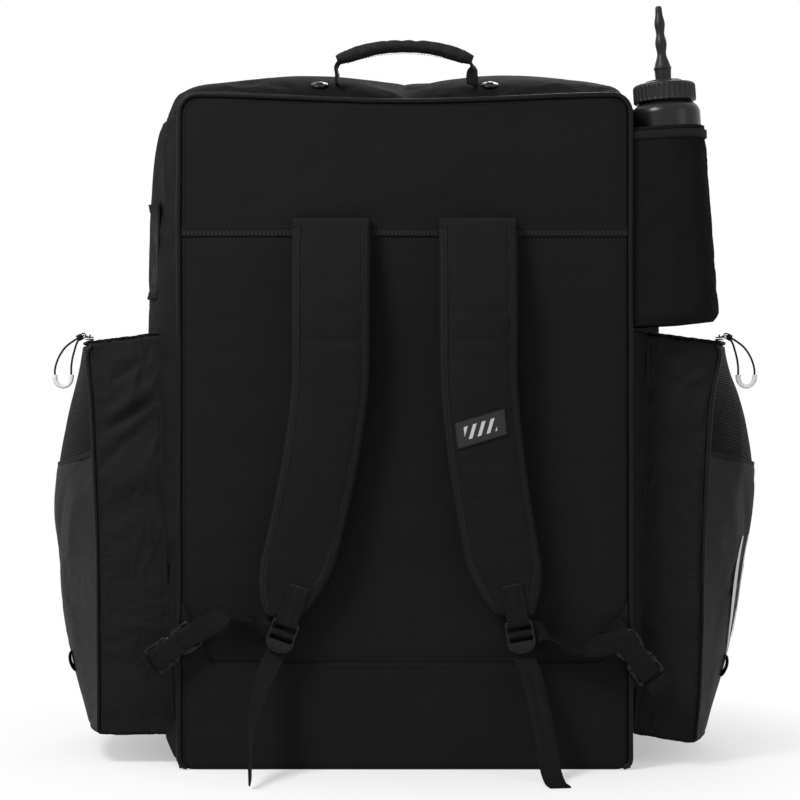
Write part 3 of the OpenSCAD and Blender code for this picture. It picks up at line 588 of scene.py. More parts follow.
def planar_uv(obj, axes=(0, 2)):
    """UVs in metres straight from two of the coordinates."""
    mesh = obj.data
    layer = mesh.uv_layers.active or mesh.uv_layers.new(name="UVMap")
    index = np.zeros(len(mesh.loops), int)
    mesh.loops.foreach_get("vertex_index", index)
    layer.data.foreach_set("uv", coords(mesh)[index][:, list(axes)].ravel())
    return obj


def rounded(corners, radius, steps=5):
    """A closed outline with its corners rounded; radius is one number or one for each corner."""
    corners = np.asarray(corners, float)
    radii = np.broadcast_to(radius, len(corners))
    made = []
    for k, here in enumerate(corners):
        before, after = corners[k - 1], corners[(k + 1) % len(corners)]
        a, b = unit(before - here), unit(after - here)
        half = math.acos(float(np.clip(np.dot(a, b), -1, 1))) / 2
        cut = min(radii[k] / math.tan(half), 0.48 * np.linalg.norm(before - here),
                  0.48 * np.linalg.norm(after - here))
        start, end = here + a * cut, here + b * cut
        for t in np.linspace(0, 1, steps):
            made.append((1 - t) ** 2 * start + 2 * t * (1 - t) * here + t * t * end)
    return np.array(made)


def window(x0, y0, x1, y1, radius, steps=5):
    """A rectangle's outline with rounded corners."""
    return rounded([(x0, y0), (x1, y0), (x1, y1), (x0, y1)], radius, steps)


def plate(name, outlines, thick, bevel=0.0006, steps=3):
    """A moulded plate in its own XY plane, from its outline and its holes, with rounded edges."""
    curve = bpy.data.curves.new(name, "CURVE")
    curve.dimensions = "2D"
    curve.fill_mode = "BOTH"
    curve.extrude = thick / 2 - bevel
    curve.bevel_depth = bevel
    curve.bevel_resolution = steps
    curve.offset = -bevel
    for outline in outlines:
        spline = curve.splines.new("POLY")
        spline.points.add(len(outline) - 1)
        for p, q in zip(spline.points, outline):
            p.co = (q[0], q[1], 0, 1)
        spline.use_cyclic_u = True
    obj = bpy.data.objects.new(name, curve)
    scene.collection.objects.link(obj)
    bpy.context.view_layer.update()
    mesh = bpy.data.meshes.new_from_object(obj.evaluated_get(bpy.context.evaluated_depsgraph_get()))
    bpy.data.objects.remove(obj)
    mesh.name = name
    work = bmesh.new()
    work.from_mesh(mesh)
    bmesh.ops.remove_doubles(work, verts=work.verts, dist=1e-6)
    bmesh.ops.recalc_face_normals(work, faces=work.faces)
    work.to_mesh(mesh)
    work.free()
    mesh.polygons.foreach_set("use_smooth", [True] * len(mesh.polygons))
    mesh.set_sharp_from_angle(angle=math.radians(32))
    made = bpy.data.objects.new(name, mesh)
    scene.collection.objects.link(made)
    return planar_uv(made, (0, 1))


def placed(obj, matrix):
    """Moves a mesh's own points."""
    obj.data.transform(matrix)
    return obj


def box_piece(name, corner_low, corner_high, bevel=0.0006):
    """A moulded block between two corners, with rounded edges."""
    a, b = np.asarray(corner_low, float), np.asarray(corner_high, float)
    radius = min(bevel * 1.5, 0.4 * float((b - a).min()))
    outline = window(a[0], a[1], b[0], b[1], radius, 4)
    obj = plate(name, [outline], b[2] - a[2], min(bevel, radius), 2)
    return placed(obj, Matrix.Translation((0, 0, (a[2] + b[2]) / 2)))


def lathe(name, profile, segments=96, ribs=None):
    """A turned piece round Z through (radius, height) points; ribs(angle, height) scales it."""
    profile = np.asarray(profile, float)
    a = np.linspace(0, 2 * np.pi, segments, endpoint=False)
    r = np.repeat(profile[:, :1], segments, axis=1)
    if ribs is not None:
        r = r * ribs(a[None, :], profile[:, 1:2])
    z = np.repeat(profile[:, 1:2], segments, axis=1)
    points = xyz(r * np.cos(a), r * np.sin(a), z)
    return grid(name, points, wrap=True)


# ---------- materials ----------

def add_node(tree, kind, inputs=(), **settings):
    """A shader node with its settings; inputs gives a value or a link to sockets by name or number."""
    node = tree.nodes.new("ShaderNode" + kind)
    for key, value in settings.items():
        setattr(node, key, value)
    for key, value in dict(inputs).items():
        if isinstance(value, bpy.types.NodeSocket):
            tree.links.new(value, node.inputs[key])
        else:
            node.inputs[key].default_value = value
    return node


class Finish:
    """A material's node tree, built with short calls; the pattern is drawn from UVs in metres."""

    def __init__(self, name, roughness, **sockets):
        self.mat = bpy.data.materials.new(name)
        self.mat.use_nodes = True
        self.tree = self.mat.node_tree
        self.bsdf = self.tree.nodes["Principled BSDF"]
        self.bsdf.inputs["Roughness"].default_value = roughness
        for key, value in sockets.items():
            self.bsdf.inputs[key.replace("_", " ")].default_value = value
        where = add_node(self.tree, "TexCoord")
        split = add_node(self.tree, "SeparateXYZ", {0: where.outputs["UV"]})
        self.u, self.v = split.outputs[0], split.outputs[1]
        self.place = where.outputs["Object"]

    def math(self, operation, *values):
        return add_node(self.tree, "Math", enumerate(values), operation=operation).outputs[0]

    def add(self, a, b):
        return self.math("ADD", a, b)

    def times(self, a, b):
        return self.math("MULTIPLY", a, b)

    def wave(self, along, period):
        """0 to 1 and back once in each period."""
        turned = self.times(along, 2 * math.pi / period)
        return self.math("MULTIPLY_ADD", self.math("SINE", turned), 0.5, 0.5)

    def weave(self, across, along):
        """Crossed threads, from their periods across the cloth and along it."""
        return self.times(self.wave(self.u, across), self.wave(self.v, along))

    def zigzag(self, along, period):
        return self.math("PINGPONG", along, period / 2)

    def ridge(self, along, period, width):
        """1 on lines a period apart, falling to 0 at half a width from them."""
        near = self.math("DIVIDE", self.zigzag(along, period), width / 2)
        return self.math("SUBTRACT", 1.0, self.math("MINIMUM", near, 1.0))

    def squares(self, width):
        """The thicker threads of ripstop, which cross in squares."""
        return self.math("MAXIMUM", self.ridge(self.u, ripstop_square, width),
                         self.ridge(self.v, ripstop_square, width))

    def cloudy(self, size, detail=2.0):
        return add_node(self.tree, "TexNoise", {"Vector": self.place, "Scale": 1 / size,
                                                "Detail": detail}).outputs["Fac"]

    def colour(self, dark, light, factor):
        node = add_node(self.tree, "Mix", {"Factor": factor, "A": (*dark, 1), "B": (*light, 1)},
                        data_type="RGBA")
        self.tree.links.new(node.outputs["Result"], self.bsdf.inputs["Base Color"])

    def bump(self, height, depth):
        """Relief on top of whatever relief there is already."""
        node = add_node(self.tree, "Bump", {"Distance": depth, "Height": height})
        normal = self.bsdf.inputs["Normal"]
        if normal.is_linked:
            self.tree.links.new(normal.links[0].from_socket, node.inputs["Normal"])
        self.tree.links.new(node.outputs["Normal"], normal)

    def roughen(self, low_value, high_value, factor):
        node = add_node(self.tree, "MapRange", {"Value": factor, "To Min": low_value, "To Max": high_value})
        self.tree.links.new(node.outputs["Result"], self.bsdf.inputs["Roughness"])


def grey(value, warm=0.0):
    return (value * (1 + warm), value, value * (1.04 - warm))


def plain(name, roughness, level, dark, light, marks, relief=(), gloss=(), **sockets):
    """A surface with cloudy marks. Marks are (size, detail), relief adds a depth to each of those,
    and gloss is (low roughness, high roughness, size, detail)."""
    f = Finish(name, roughness, Specular_IOR_Level=level, **sockets)
    f.colour(dark, light, f.cloudy(*marks))
    for size, detail, depth in relief:
        f.bump(f.cloudy(size, detail), depth)
    if gloss:
        f.roughen(*gloss[:2], f.cloudy(*gloss[2:]))
    return f.mat


def moulded(name, dark, light, roughness, grain=0.0003, shine=0.16):
    """Satin moulded plastic with a fine grain and handling marks."""
    marks = (0.012, 6)
    return plain(name, roughness, shine, grey(dark), grey(light), marks, [(0.0012, 2, grain * 0.3)],
                 (roughness - 0.07, roughness + 0.12, *marks))


def ripstop(name="ripstop", dark=0.0068, light=0.0118):
    """Black ripstop cloth: a fine plain weave with a grid of thicker threads."""
    f = Finish(name, 0.8, Specular_IOR_Level=0.05)
    lines = f.squares(0.0013)
    yarns = f.weave(0.0011, 0.0011)
    wear = f.cloudy(0.09, 4)
    f.colour(grey(dark), grey(light), f.add(f.times(lines, 0.6), f.times(wear, 0.55)))
    f.bump(yarns, 0.00012)
    f.bump(lines, 0.0003)
    f.bump(f.cloudy(0.012, 3), 0.0005)
    f.roughen(0.7, 0.9, wear)
    return f.mat


def pack_cloth(name="pocket_fabric", dark=0.0068, light=0.0118, shine=0.07):
    """Smoother black pack cloth with a fine weave."""
    f = Finish(name, 0.72, Specular_IOR_Level=shine)
    yarns = f.weave(0.0013, 0.0013)
    grid_lines = f.squares(0.001)
    wear = f.cloudy(0.11, 4)
    f.colour(grey(dark), grey(light), f.add(f.times(grid_lines, 0.25), f.times(wear, 0.7)))
    f.bump(yarns, 0.0001)
    f.bump(grid_lines, 0.00008)
    f.bump(f.cloudy(0.015, 2), 0.0004)
    f.roughen(0.62, 0.8, wear)
    return f.mat


def base_cloth():
    f = Finish("base_fabric", 0.45, Specular_IOR_Level=0.3)
    grain = f.weave(0.0018, 0.0018)
    scuffs = f.cloudy(0.02, 8)
    f.colour(grey(0.006), grey(0.014), scuffs)
    f.bump(grain, 0.0002)
    f.roughen(0.35, 0.7, scuffs)
    return f.mat


def zip_tape():
    """Woven zip tape: fine ribs along it."""
    f = Finish("zip_tape", 0.75, Specular_IOR_Level=0.06)
    ribs = f.wave(f.u, 0.0012)
    f.colour(grey(0.0055), grey(0.0095), f.cloudy(0.03, 3))
    f.bump(f.times(ribs, f.wave(f.v, 0.0009)), 0.0002)
    return f.mat


def slider_metal():
    """Black painted metal, rubbed on its edges."""
    f = Finish("slider", 0.32, Metallic=0.6)
    worn = f.cloudy(0.004, 5)
    f.colour(grey(0.025), grey(0.11), f.math("GREATER_THAN", worn, 0.66))
    f.bump(worn, 0.00008)
    f.roughen(0.24, 0.5, worn)
    return f.mat


def piping_vinyl():
    f = Finish("piping", 0.42, Specular_IOR_Level=0.10)
    wrinkle = f.wave(f.v, 0.004)
    f.colour(grey(0.003), grey(0.006), f.cloudy(0.05, 4))
    f.bump(f.times(wrinkle, f.cloudy(0.02, 2)), 0.0002)
    f.bump(f.cloudy(0.01, 3), 0.0003)
    f.roughen(0.34, 0.55, f.cloudy(0.03, 3))
    return f.mat


def slanted_tape():
    """Flat tape with a row of slanted stitches between two plain edges."""
    f = Finish("tape", 0.7, Specular_IOR_Level=0.08)
    slant = f.add(f.v, f.times(f.u, 0.45))
    bars = f.times(f.wave(slant, 0.0046), f.wave(f.u, 0.0125))
    f.colour(grey(0.0045), grey(0.0185), bars)
    f.bump(bars, 0.0005)
    return f.mat


def strap_knit():
    """Dense padded knit, matt, with tiny ribs."""
    f = Finish("strap_knit", 0.8, Specular_IOR_Level=0.05)
    ribs = f.times(f.wave(f.v, 0.0014), f.wave(f.u, 0.002))
    squares = f.squares(0.0015)
    shade = f.add(f.times(ribs, 0.3), f.times(squares, 0.35))
    f.colour(grey(0.0066), grey(0.0122), f.add(shade, f.times(f.cloudy(0.04, 3), 0.45)))
    f.bump(ribs, 0.00022)
    f.bump(squares, 0.00025)
    f.bump(f.cloudy(0.008, 3), 0.00045)
    return f.mat


def binding_tape():
    """Grosgrain binding: ribs across it."""
    f = Finish("binding", 0.65, Specular_IOR_Level=0.09)
    ribs = f.wave(f.v, 0.0017)
    f.colour(grey(0.0045), grey(0.0150), ribs)
    f.bump(ribs, 0.0006)
    f.bump(f.cloudy(0.006, 2), 0.0002)
    return f.mat


def webbing():
    """Nylon webbing: slanted dots of twill in bands, with closer selvedges."""
    f = Finish("webbing", 0.6, Specular_IOR_Level=0.08)
    slant = f.add(f.v, f.times(f.zigzag(f.u, 0.0125), 0.9))
    twill = f.wave(slant, 0.0030)
    dots = f.wave(f.u, 0.0021)
    weave = f.times(twill, f.math("MULTIPLY_ADD", dots, 0.6, 0.4))
    wear = f.cloudy(0.03, 4)
    f.colour(grey(0.0014), grey(0.0125), f.add(f.times(weave, 0.80), f.times(wear, 0.08)))
    f.bump(weave, 0.0008)
    f.bump(f.cloudy(0.004, 3), 0.00015)
    return f.mat


def braid():
    """Braided cord: crossed strands."""
    f = Finish("cord", 0.6, Specular_IOR_Level=0.1)
    a, b = f.wave(f.add(f.u, f.v), 0.0013), f.wave(f.math("SUBTRACT", f.u, f.v), 0.0013)
    f.colour(grey(0.007), grey(0.02), f.times(a, b))
    f.bump(f.add(a, b), 0.0003)
    return f.mat


def white_print():
    """Plain white print on cloth; the weave shows through it."""
    f = Finish("white_print", 0.5, Specular_IOR_Level=0.3)
    yarns = f.weave(0.0013, 0.0013)
    shade = f.add(f.times(yarns, 0.4), f.times(f.cloudy(0.02, 3), 0.5))
    f.colour((0.55, 0.55, 0.55), (0.72, 0.72, 0.72), shade)
    f.bump(yarns, 0.00015)
    return f.mat


def patch_weave():
    """The plain woven patch on the right strap: black with a row of pale slanted bars."""
    f = Finish("patch_weave", 0.6, Specular_IOR_Level=0.25)
    slanted = f.math("GREATER_THAN", f.wave(f.add(f.u, f.times(f.v, -0.45)), 0.0105), 0.62)
    middle = f.times(f.math("GREATER_THAN", f.u, 0.010), f.math("LESS_THAN", f.u, 0.048))
    belt = f.times(f.math("GREATER_THAN", f.v, 0.0075), f.math("LESS_THAN", f.v, 0.0225))
    bars = f.times(slanted, f.times(middle, belt))
    threads = f.weave(0.0009, 0.0012)
    shade = f.times(bars, f.math("MULTIPLY_ADD", threads, 0.3, 0.7))
    f.colour((0.012, 0.012, 0.0125), (0.62, 0.62, 0.62), shade)
    f.bump(threads, 0.00025)
    return f.mat


def stretch_knit():
    """The bottle sleeve's knit: fine ribs across it."""
    f = Finish("sleeve_knit", 0.85, Specular_IOR_Level=0.03)
    ribs = f.wave(f.v, 0.0024)
    loops = f.wave(f.u, 0.0016)
    f.colour(grey(0.0055), grey(0.0108), f.add(f.times(ribs, 0.6), f.times(f.cloudy(0.05, 3), 0.4)))
    f.bump(f.times(ribs, f.math("MULTIPLY_ADD", loops, 0.3, 0.7)), 0.0003)
    return f.mat


MATERIALS = {
    "ripstop": ripstop(),
    # The top panel's cloth: the same ripstop painted darker, as painted shade on the top
    "top_weave": ripstop("top_weave", 0.0034, 0.0066),
    "pocket_fabric": pack_cloth(),
    # The grab handle's cloth: the same ripstop painted about twice as light, as painted light that offsets
    # the shade the handle sits in
    "handle_fabric": ripstop("handle_fabric", 0.014, 0.024),
    # The pockets' outer faces: the same pack cloth painted lighter, as painted light for the brightness the
    # cloth shows where light falls across it at a grazing angle
    "pocket_face": pack_cloth("pocket_face", 0.0115, 0.0185, 0.12),
    "base_fabric": base_cloth(),
    "foam": plain("foam", 0.9, 0.1, grey(0.045), grey(0.08), (0.0015, 2), [(0.0015, 2, 0.0005)]),
    "board": plain("board", 0.45, 0.35, grey(0.42, 0.01), grey(0.5, 0.01), (0.05, 5), [(0.003, 3, 0.0002)]),
    "zip_tape": zip_tape(),
    "zip_coil": plain("zip_coil", 0.4, 0.15, grey(0.007), grey(0.012), (0.01, 2)),
    "slider": slider_metal(),
    "piping": piping_vinyl(),
    "tape": slanted_tape(),
    "strap_knit": strap_knit(),
    "binding": binding_tape(),
    "webbing": webbing(),
    "buckle": moulded("buckle", 0.0016, 0.0038, 0.2, shine=0.2),
    "mesh": plain("mesh", 0.6, 0.08, grey(0.0026), grey(0.0070), (0.01, 3)),
    "cord": braid(),
    "white_sleeve": plain("white_sleeve", 0.42, 0.4, (0.55, 0.55, 0.54), (0.68, 0.68, 0.67), (0.006, 4),
                          [(0.004, 3, 0.0002)], Subsurface_Weight=0.05),
    "white_print": white_print(),
    "patch_weave": patch_weave(),
    "sleeve_knit": stretch_knit(),
    "bottle": plain("bottle", 0.3, 0.22, grey(0.009), grey(0.014), (0.04, 3), [(0.03, 2, 0.0008)],
                    (0.2, 0.34, 0.02, 4)),
    "cap": moulded("cap", 0.011, 0.017, 0.4, shine=0.18),
    "spout": moulded("spout", 0.010, 0.016, 0.36, shine=0.18),
    "thread": moulded("thread", 0.007, 0.014, 0.7, 0.0001, 0.08),
    "bright_thread": moulded("bright_thread", 0.026, 0.040, 0.6, 0.0001, 0.1),
    # A very dark sheet behind the pocket netting, as painted shade for the pocket's shaded inside
    "lining": ripstop("lining", 0.0022, 0.0034),
}


def dress(obj, finish):
    obj.data.materials.clear()
    obj.data.materials.append(MATERIALS[finish])
    return obj


def fit(obj, finish, body, *nodes):
    """Gives a piece its finish, its body and the CAD nodes that it stands for."""
    dress(obj, finish)
    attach(obj, body)
    if nodes:
        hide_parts(*nodes)
    return obj


def sew(name, rows, body="bag", finish="thread", **look):
    """Rows of stitches as a piece of their own; look goes on to stitches()."""
    return fit(stitches(name, rows, **look), finish, body)


# ---------- camera, then the cords ----------

camera = bpy.data.objects.new("camera", bpy.data.cameras.new("camera"))
scene.collection.objects.link(camera)
camera.location = (-0.0055, -2.81, 0.4255)
camera.rotation_euler = (math.pi / 2, 0, 0)
camera.data.lens = 101.7
camera.data.sensor_width = 36
scene.camera = camera

# The zip pulls: a limp cord from a soft white sleeve, up through the slider's eye and back.
# Both routes are millimetres from the eye.
slider_turn = math.radians(13.517)
slider_r = arc_r - 0.005
arc_x = pocket_edge(pocket_top_z) + pocket_bow - arc_r
slider_z = low("left_pocket_slider").z
eye = np.array([-slider_r - 0.008, 0.0, 0.0053])
cord_r = 0.0012
pull_sleeve_r = 0.0028
knot_r, knot_h = 0.0026, 0.0056
cord_route = [(-33, 0, -46), (-33, 0, -41), (-31.5, -1, -33), (-27.5, -3, -23), (-21, -5.6, -13.5),
              (-13, -7, -7), (-6.5, -6.6, -3), (-2.2, -4.5, -1), (0, -1.5, 0), (0, 1.5, 0),
              (-1.6, 4.6, -1), (-4.6, 6.2, -4.4), (-7.4, 6, -10), (-10, 4.6, -18), (-12.4, 2.6, -27),
              (-13.8, 0.8, -36), (-14, 0, -41), (-14, 0, -46)]
sleeve_route = [(-33, 0, -46), (-33, 0, -50), (-31.5, 0, -55), (-28, 0, -58.5), (-23.5, 0, -59.8),
                (-19, 0, -58.5), (-15.5, 0, -55), (-14, 0, -50), (-14, 0, -46)]


def at_slider(points, side):
    """Points in a pocket slider's own frame, in the row frame; X runs towards the bag."""
    p = np.asarray(points, float)
    x = p[:, 0] * math.cos(slider_turn) - p[:, 1] * math.sin(slider_turn)
    y = p[:, 0] * math.sin(slider_turn) + p[:, 1] * math.cos(slider_turn)
    return xyz(-side * (x - arc_x), y + pocket_mid, p[:, 2] + slider_z)


def zip_pull(word, side):
    rope = curve_through(at_slider(np.array(cord_route) * 0.001 + eye, side), 110)
    hose = curve_through(at_slider(np.array(sleeve_route) * 0.001 + eye, side), 40)
    radii = pull_sleeve_r * (1 + 0.10 * np.cos(np.linspace(0, 2 * np.pi, 40)))
    profile = [round_profile(r, 16) for r in radii]
    sleeve = sweep(f"{word}_pull_sleeve_soft", hose, carried(hose, TO_DOOR), profile)
    fit(sleeve, "white_sleeve", f"{word}_puller", f"{word}_pull_sleeve")
    cord = tube(f"{word}_pull_cord_braid", rope, cord_r, 12, (0.0, 0.3, 1.0))
    fit(cord, "cord", f"{word}_puller", f"{word}_pull_cord")
    # The knot that holds the loop just under the ring
    top = len(rope) // 2
    middle = (rope[top - 7] + rope[top + 7]) / 2
    down = unit(middle - rope[top])
    across = unit(np.cross(down, [0.0, 1.0, 0.0]))
    t = np.linspace(0, 1, 60)
    coil = (middle + (knot_r * np.cos(16 * t))[:, None] * across
            + (knot_r * np.sin(16 * t))[:, None] * TO_DOOR + ((t - 0.5) * knot_h)[:, None] * down)
    knot = tube(f"{word}_pull_knot", coil, cord_r * 1.15, 10, down)
    fit(knot, "cord", f"{word}_puller")


for_both_sides(zip_pull)


# ---------- back panel, tape and lower seam ----------

def panel_half(z):
    """Half the back panel's width at a height, inside the piping."""
    r = corner_r - piping_r
    up = limited((np.asarray(z, float) - shoulder_z) / r)
    down = limited((foot_r - np.asarray(z, float)) / foot_r)
    return edge_x - corner_r + r * quarter(up) - foot_r * (1 - quarter(down))


def back_relief(x, z):
    """How far the back panel stands proud at a place on it, towards the straps."""
    p = xyz(x, 0, z)
    return 0.0022 * rough(p * [0.55, 1.0, 1.1], 0.10, 3) + 0.0004 * wavy(p * [0.4, 1, 1.6], 0.03, 9)


def back_section(name, z_low, z_high, rows, proud, replaced=()):
    t, z = np.meshgrid(np.linspace(-1, 1, 150), np.linspace(z_low, z_high, rows))
    x = panel_half(z) * t
    z = z + top_sag(x) * limited((z - tape_z) / (body_h - tape_z)) ** 2
    edge = inside_edges(z.shape, 0.045)
    y = back_y - edge * (proud + back_relief(x, z)) + 0.0006 * (1 - edge)
    sheet = grid(name, xyz(x, y, z))
    thicken(sheet, cloth_t)
    fit(sheet, "ripstop", "bag", *replaced)


back_section("back_panel_upper", tape_z, body_h - piping_r * 0.6, 60, 0.0006, ("back_panel",))
back_section("back_panel_middle", seam_z, tape_z, 180, 0.0006)
back_section("back_panel_lower", 0.0016, seam_z, 70, 0.0010)


def seam_line(cols, out, z, size, period, seed):
    """A slightly wavy line across the back panel at one height."""
    x = np.linspace(-edge_x + piping_r, edge_x - piping_r, cols)
    wave = size * wavy(xyz(x, 0, 0), period, seed)
    return xyz(x, back_y - out, z + wave)


def tape_strip():
    """The woven tape over the upper seam, with a row of stitches along each edge."""
    line = seam_line(160, 0.0008, tape_z, 0.0006, 0.06, 5)
    tape = sweep("seam_tape_woven", line, -UP, flat_profile(tape_w, 0.0009))
    fit(tape, "tape", "bag", "seam_tape")
    half = tape_w / 2 - 0.0016
    sew("seam_tape_stitches", [(line + [0, -0.0006, k * half], TO_STRAPS) for k in (-1, 1)])


tape_strip()


def lower_seam():
    """The lower seam: a rolled lip of cloth with a row of stitches under it."""
    line = seam_line(140, 0.0007, seam_z - 0.001, 0.0008, 0.05, 11)
    lip = sweep("lower_seam_lip", line, -UP, flat_profile(0.007, 0.0012, 0.0004))
    fit(lip, "ripstop", "bag")
    sew("lower_seam_stitches", [(line + [0, -0.0008, -0.0018], TO_STRAPS)], lift=-0.0001)


lower_seam()


# ---------- piping ----------

def arch(y, out=0.0, count=420, sag=0.0):
    """The line of a piping: up one side, over the top and down the other, at depth y."""
    a = np.linspace(0, np.pi / 2, 24)
    r = corner_r + out
    left = xyz(-top_half - r * np.cos(a), 0, shoulder_z + r * np.sin(a))
    right = left[::-1] * [-1, 1, 1]
    top = xyz(np.linspace(-top_half, top_half, 40), 0, body_h + out)
    t = np.linspace(0, np.pi / 2, 10)
    r = foot_r + out
    foot = xyz(-edge_x + foot_r - r * np.sin(t), 0, piping_r + foot_r - r * np.cos(t))
    path = np.vstack([foot, left, top[1:-1], right, foot[::-1] * [-1, 1, 1]])
    path = even(path, count)
    path[:, 2] += sag * top_sag(path[:, 0]) * limited((path[:, 2] - shoulder_z) / corner_r)
    path[:, 1] = y
    return path


def piping_run(name, y, node, sag, outward):
    path = arch(y, sag=sag)
    drift = rough(path, 0.12, 17, 2)
    path[:, 0] += 0.0009 * drift * (np.abs(path[:, 0]) > top_half)
    path[:, 1] += 0.0004 * drift
    run = tube(name, path, piping_r, 14, (0.0, 1.0, 0.0))
    fit(run, "piping", "bag", node)
    line = arch(y + outward * 0.0008, out=-0.0062, sag=sag)
    sew(f"{name}_stitches", [(line, outward * TO_DOOR)], lift=-0.0001)


piping_run("back_piping_welt", back_y, "back_piping", 1.0, -1)
piping_run("front_piping_welt", front_y, "front_piping", 0.0, 1)


# ---------- side, top and base panels ----------

low_bulge = 0.013


def wall_depths(count):
    """Depths from the straps' side to the door's, closer together near both ends."""
    share = 1 - np.cos(np.linspace(0, np.pi, count))
    return wall_start - 0.001 + (wall_end + 0.001 - wall_start) * share / 2


def side_panel(word, side):
    """A side wall: hollowed by the bottle on the right, with a low bulge on the left."""
    y, z = np.meshgrid(wall_depths(90), np.linspace(panel_foot, shoulder_z, 170))
    sunk = 1 - dent(y, z) if side > 0 else 1
    x = edge_x + side_rise(z) * crown(y) * sunk
    if side < 0:
        foot = limited((z - 0.001) / 0.030) ** 0.7 * (1 - limited((z - 0.036) / 0.022))
        x = x + low_bulge * foot * limited((y - wall_start) / 0.032) * limited((wall_end - y) / 0.08)
    points = oriented(xyz(side * x, y, z), side)
    points = unevened(points, 0.1, 0.0016, 0.11, 21 + side)
    panel = grid(f"{word}_side_cloth", points)
    crumple(panel, growth=0.012, cap=0.003, frames=14)
    thicken(panel, wall_t)
    fit(panel, "ripstop", "bag", f"{word}_side_panel")


for_both_sides(side_panel)


def top_panel():
    cols, rows = 200, 90
    turn = np.linspace(0, 1, cols)
    y = np.repeat(wall_depths(rows)[:, None], cols, axis=1)
    corner = np.where(turn < 0.2, turn / 0.2, np.where(turn > 0.8, (1 - turn) / 0.2, 1.0))[None, :]
    side = np.where(turn < 0.5, -1.0, 1.0)[None, :]
    x0 = np.where((turn < 0.2) | (turn > 0.8), side[0] * top_half,
                  mix(-top_half, top_half, (turn - 0.2) / 0.6))[None, :]
    keep = np.where(side > 0, mix(1 - dent(y, shoulder_z), 1.0, corner), 1.0)
    radius = corner_r + top_rise(x0) * crown(y) * keep
    angle = np.pi / 2 * corner
    x = x0 + side * radius * np.cos(angle)
    z = shoulder_z + radius * np.sin(angle)
    behind = limited(1 - (y - wall_start) / 0.12)
    z = z + top_sag(x) * corner * behind ** 2
    points = xyz(x, y, z)
    points = unevened(points, 0.07, 0.0014, 0.1, 31)
    panel = grid("top_cloth", points)
    crumple(panel, growth=0.010, cap=0.003, frames=14)
    thicken(panel, wall_t)
    # The top panel's ripstop is painted darker than the walls', as painted shade
    fit(panel, "top_weave", "bag", "top_panel")


top_panel()


def base():
    z_mid = high("base_panel").z / 2
    half, a, b = high("base_panel").x - 0.005, low("base_panel").y, high("base_panel").y
    outline = window(-half, a, half, b, 0.012, 8)
    slab = placed(plate("base_cloth", [outline], 2 * z_mid, 0.0012, 3), Matrix.Translation((0, 0, z_mid)))
    fit(slab, "base_fabric", "bag", "base_panel")


base()


# ---------- front frame and door ----------

door_half_w = high("front_door").x
door_foot_z = low("front_door").z
door_top_z = high("front_door").z
door_r = 0.060
door_swell = 0.022
zip_w = 0.012
door_gap = 0.0004


def archway(cx, cz, r, foot, count):
    """An outline (across, up) from its left foot over two round corners to its right foot."""
    a = np.linspace(0, np.pi / 2, count)
    left = np.stack([-cx - r * np.cos(a), cz + r * np.sin(a)], 1)
    return np.vstack([[[-cx - r, foot]], left, left[::-1] * [-1, 1], [[cx + r, foot]]])


def door_line(grow, foot, count=10):
    """The door's outline grown by an amount."""
    return archway(door_half_w - door_r, door_top_z - door_r, door_r + grow, foot, count)


def front_ring():
    """The front panel round the door."""
    outer = archway(top_half, shoulder_z, corner_r - piping_r, panel_foot, 12)
    hole = door_line(zip_w - 0.0005, door_foot_z - 0.006)
    ring = plate("front_cloth", [outer, hole], wall_t, 0.0008, 2)
    placed(ring, Matrix.Translation((0, front_y - wall_t / 2, 0)) @ STAND)
    planar_uv(ring)
    fit(ring, "ripstop", "bag", "front_frame")


front_ring()


def door_face(x_share, z):
    up = limited((z - door_top_z + door_r) / door_r)
    half = door_half_w - door_r + door_r * quarter(up)
    rise = swell((x_share + 1) / 2, 0.6) * swell((z - door_foot_z) / (door_top_z - door_foot_z), 0.6)
    return xyz(-half * x_share, front_y + door_swell * rise, z)


def door():
    heights = door_foot_z + (door_top_z - door_foot_z) * np.linspace(0, 1, 150)
    share, z = np.meshgrid(np.linspace(-1, 1, 110), heights)
    points = door_face(share, z)
    points = unevened(points, 0.08, 0.0012, 0.1, 41)
    panel = grid("door_cloth", points)
    crumple(panel, growth=0.012, cap=0.003, frames=14)
    thicken(panel, wall_t)
    fit(panel, "ripstop", "door", "front_door")


door()


def zip_track(name, path, normal, body, width, node, teeth=0.0016):
    """A coil zip along a path: its woven tape and the coil's row of small loops."""
    across = np.cross(normal, tangents(path))
    tape = sweep(f"{name}_tape", path, across, flat_profile(width, 0.0008))
    fit(tape, "zip_tape", body, node)
    places = []
    for k in (-1, 1):
        line = path + across * k * 0.0011 + normal * 0.0009
        count = int(np.linalg.norm(np.diff(line, axis=0), axis=1).sum() / teeth)
        at = even(line, count)
        places += [(mid, (np.cross(normal, x), x, normal)) for mid, x in zip(at, tangents(at))]
    coil = capsules(f"{name}_coil", places, [0.0021, teeth * 0.33, 0.0007])
    face_outward(coil)
    fit(coil, "zip_coil", body)


def door_zip():
    flat = even(np.hstack([door_line(zip_w / 2 + door_gap / 2, door_foot_z + 0.004, 24),
                           np.zeros((50, 1))])[:, [0, 2, 1]], 360)
    path = xyz(flat[:, 0], front_y - 0.0005, flat[:, 2])
    zip_track("door_zip", path, TO_DOOR, "bag", zip_w - 2 * door_gap, "door_zip")


door_zip()


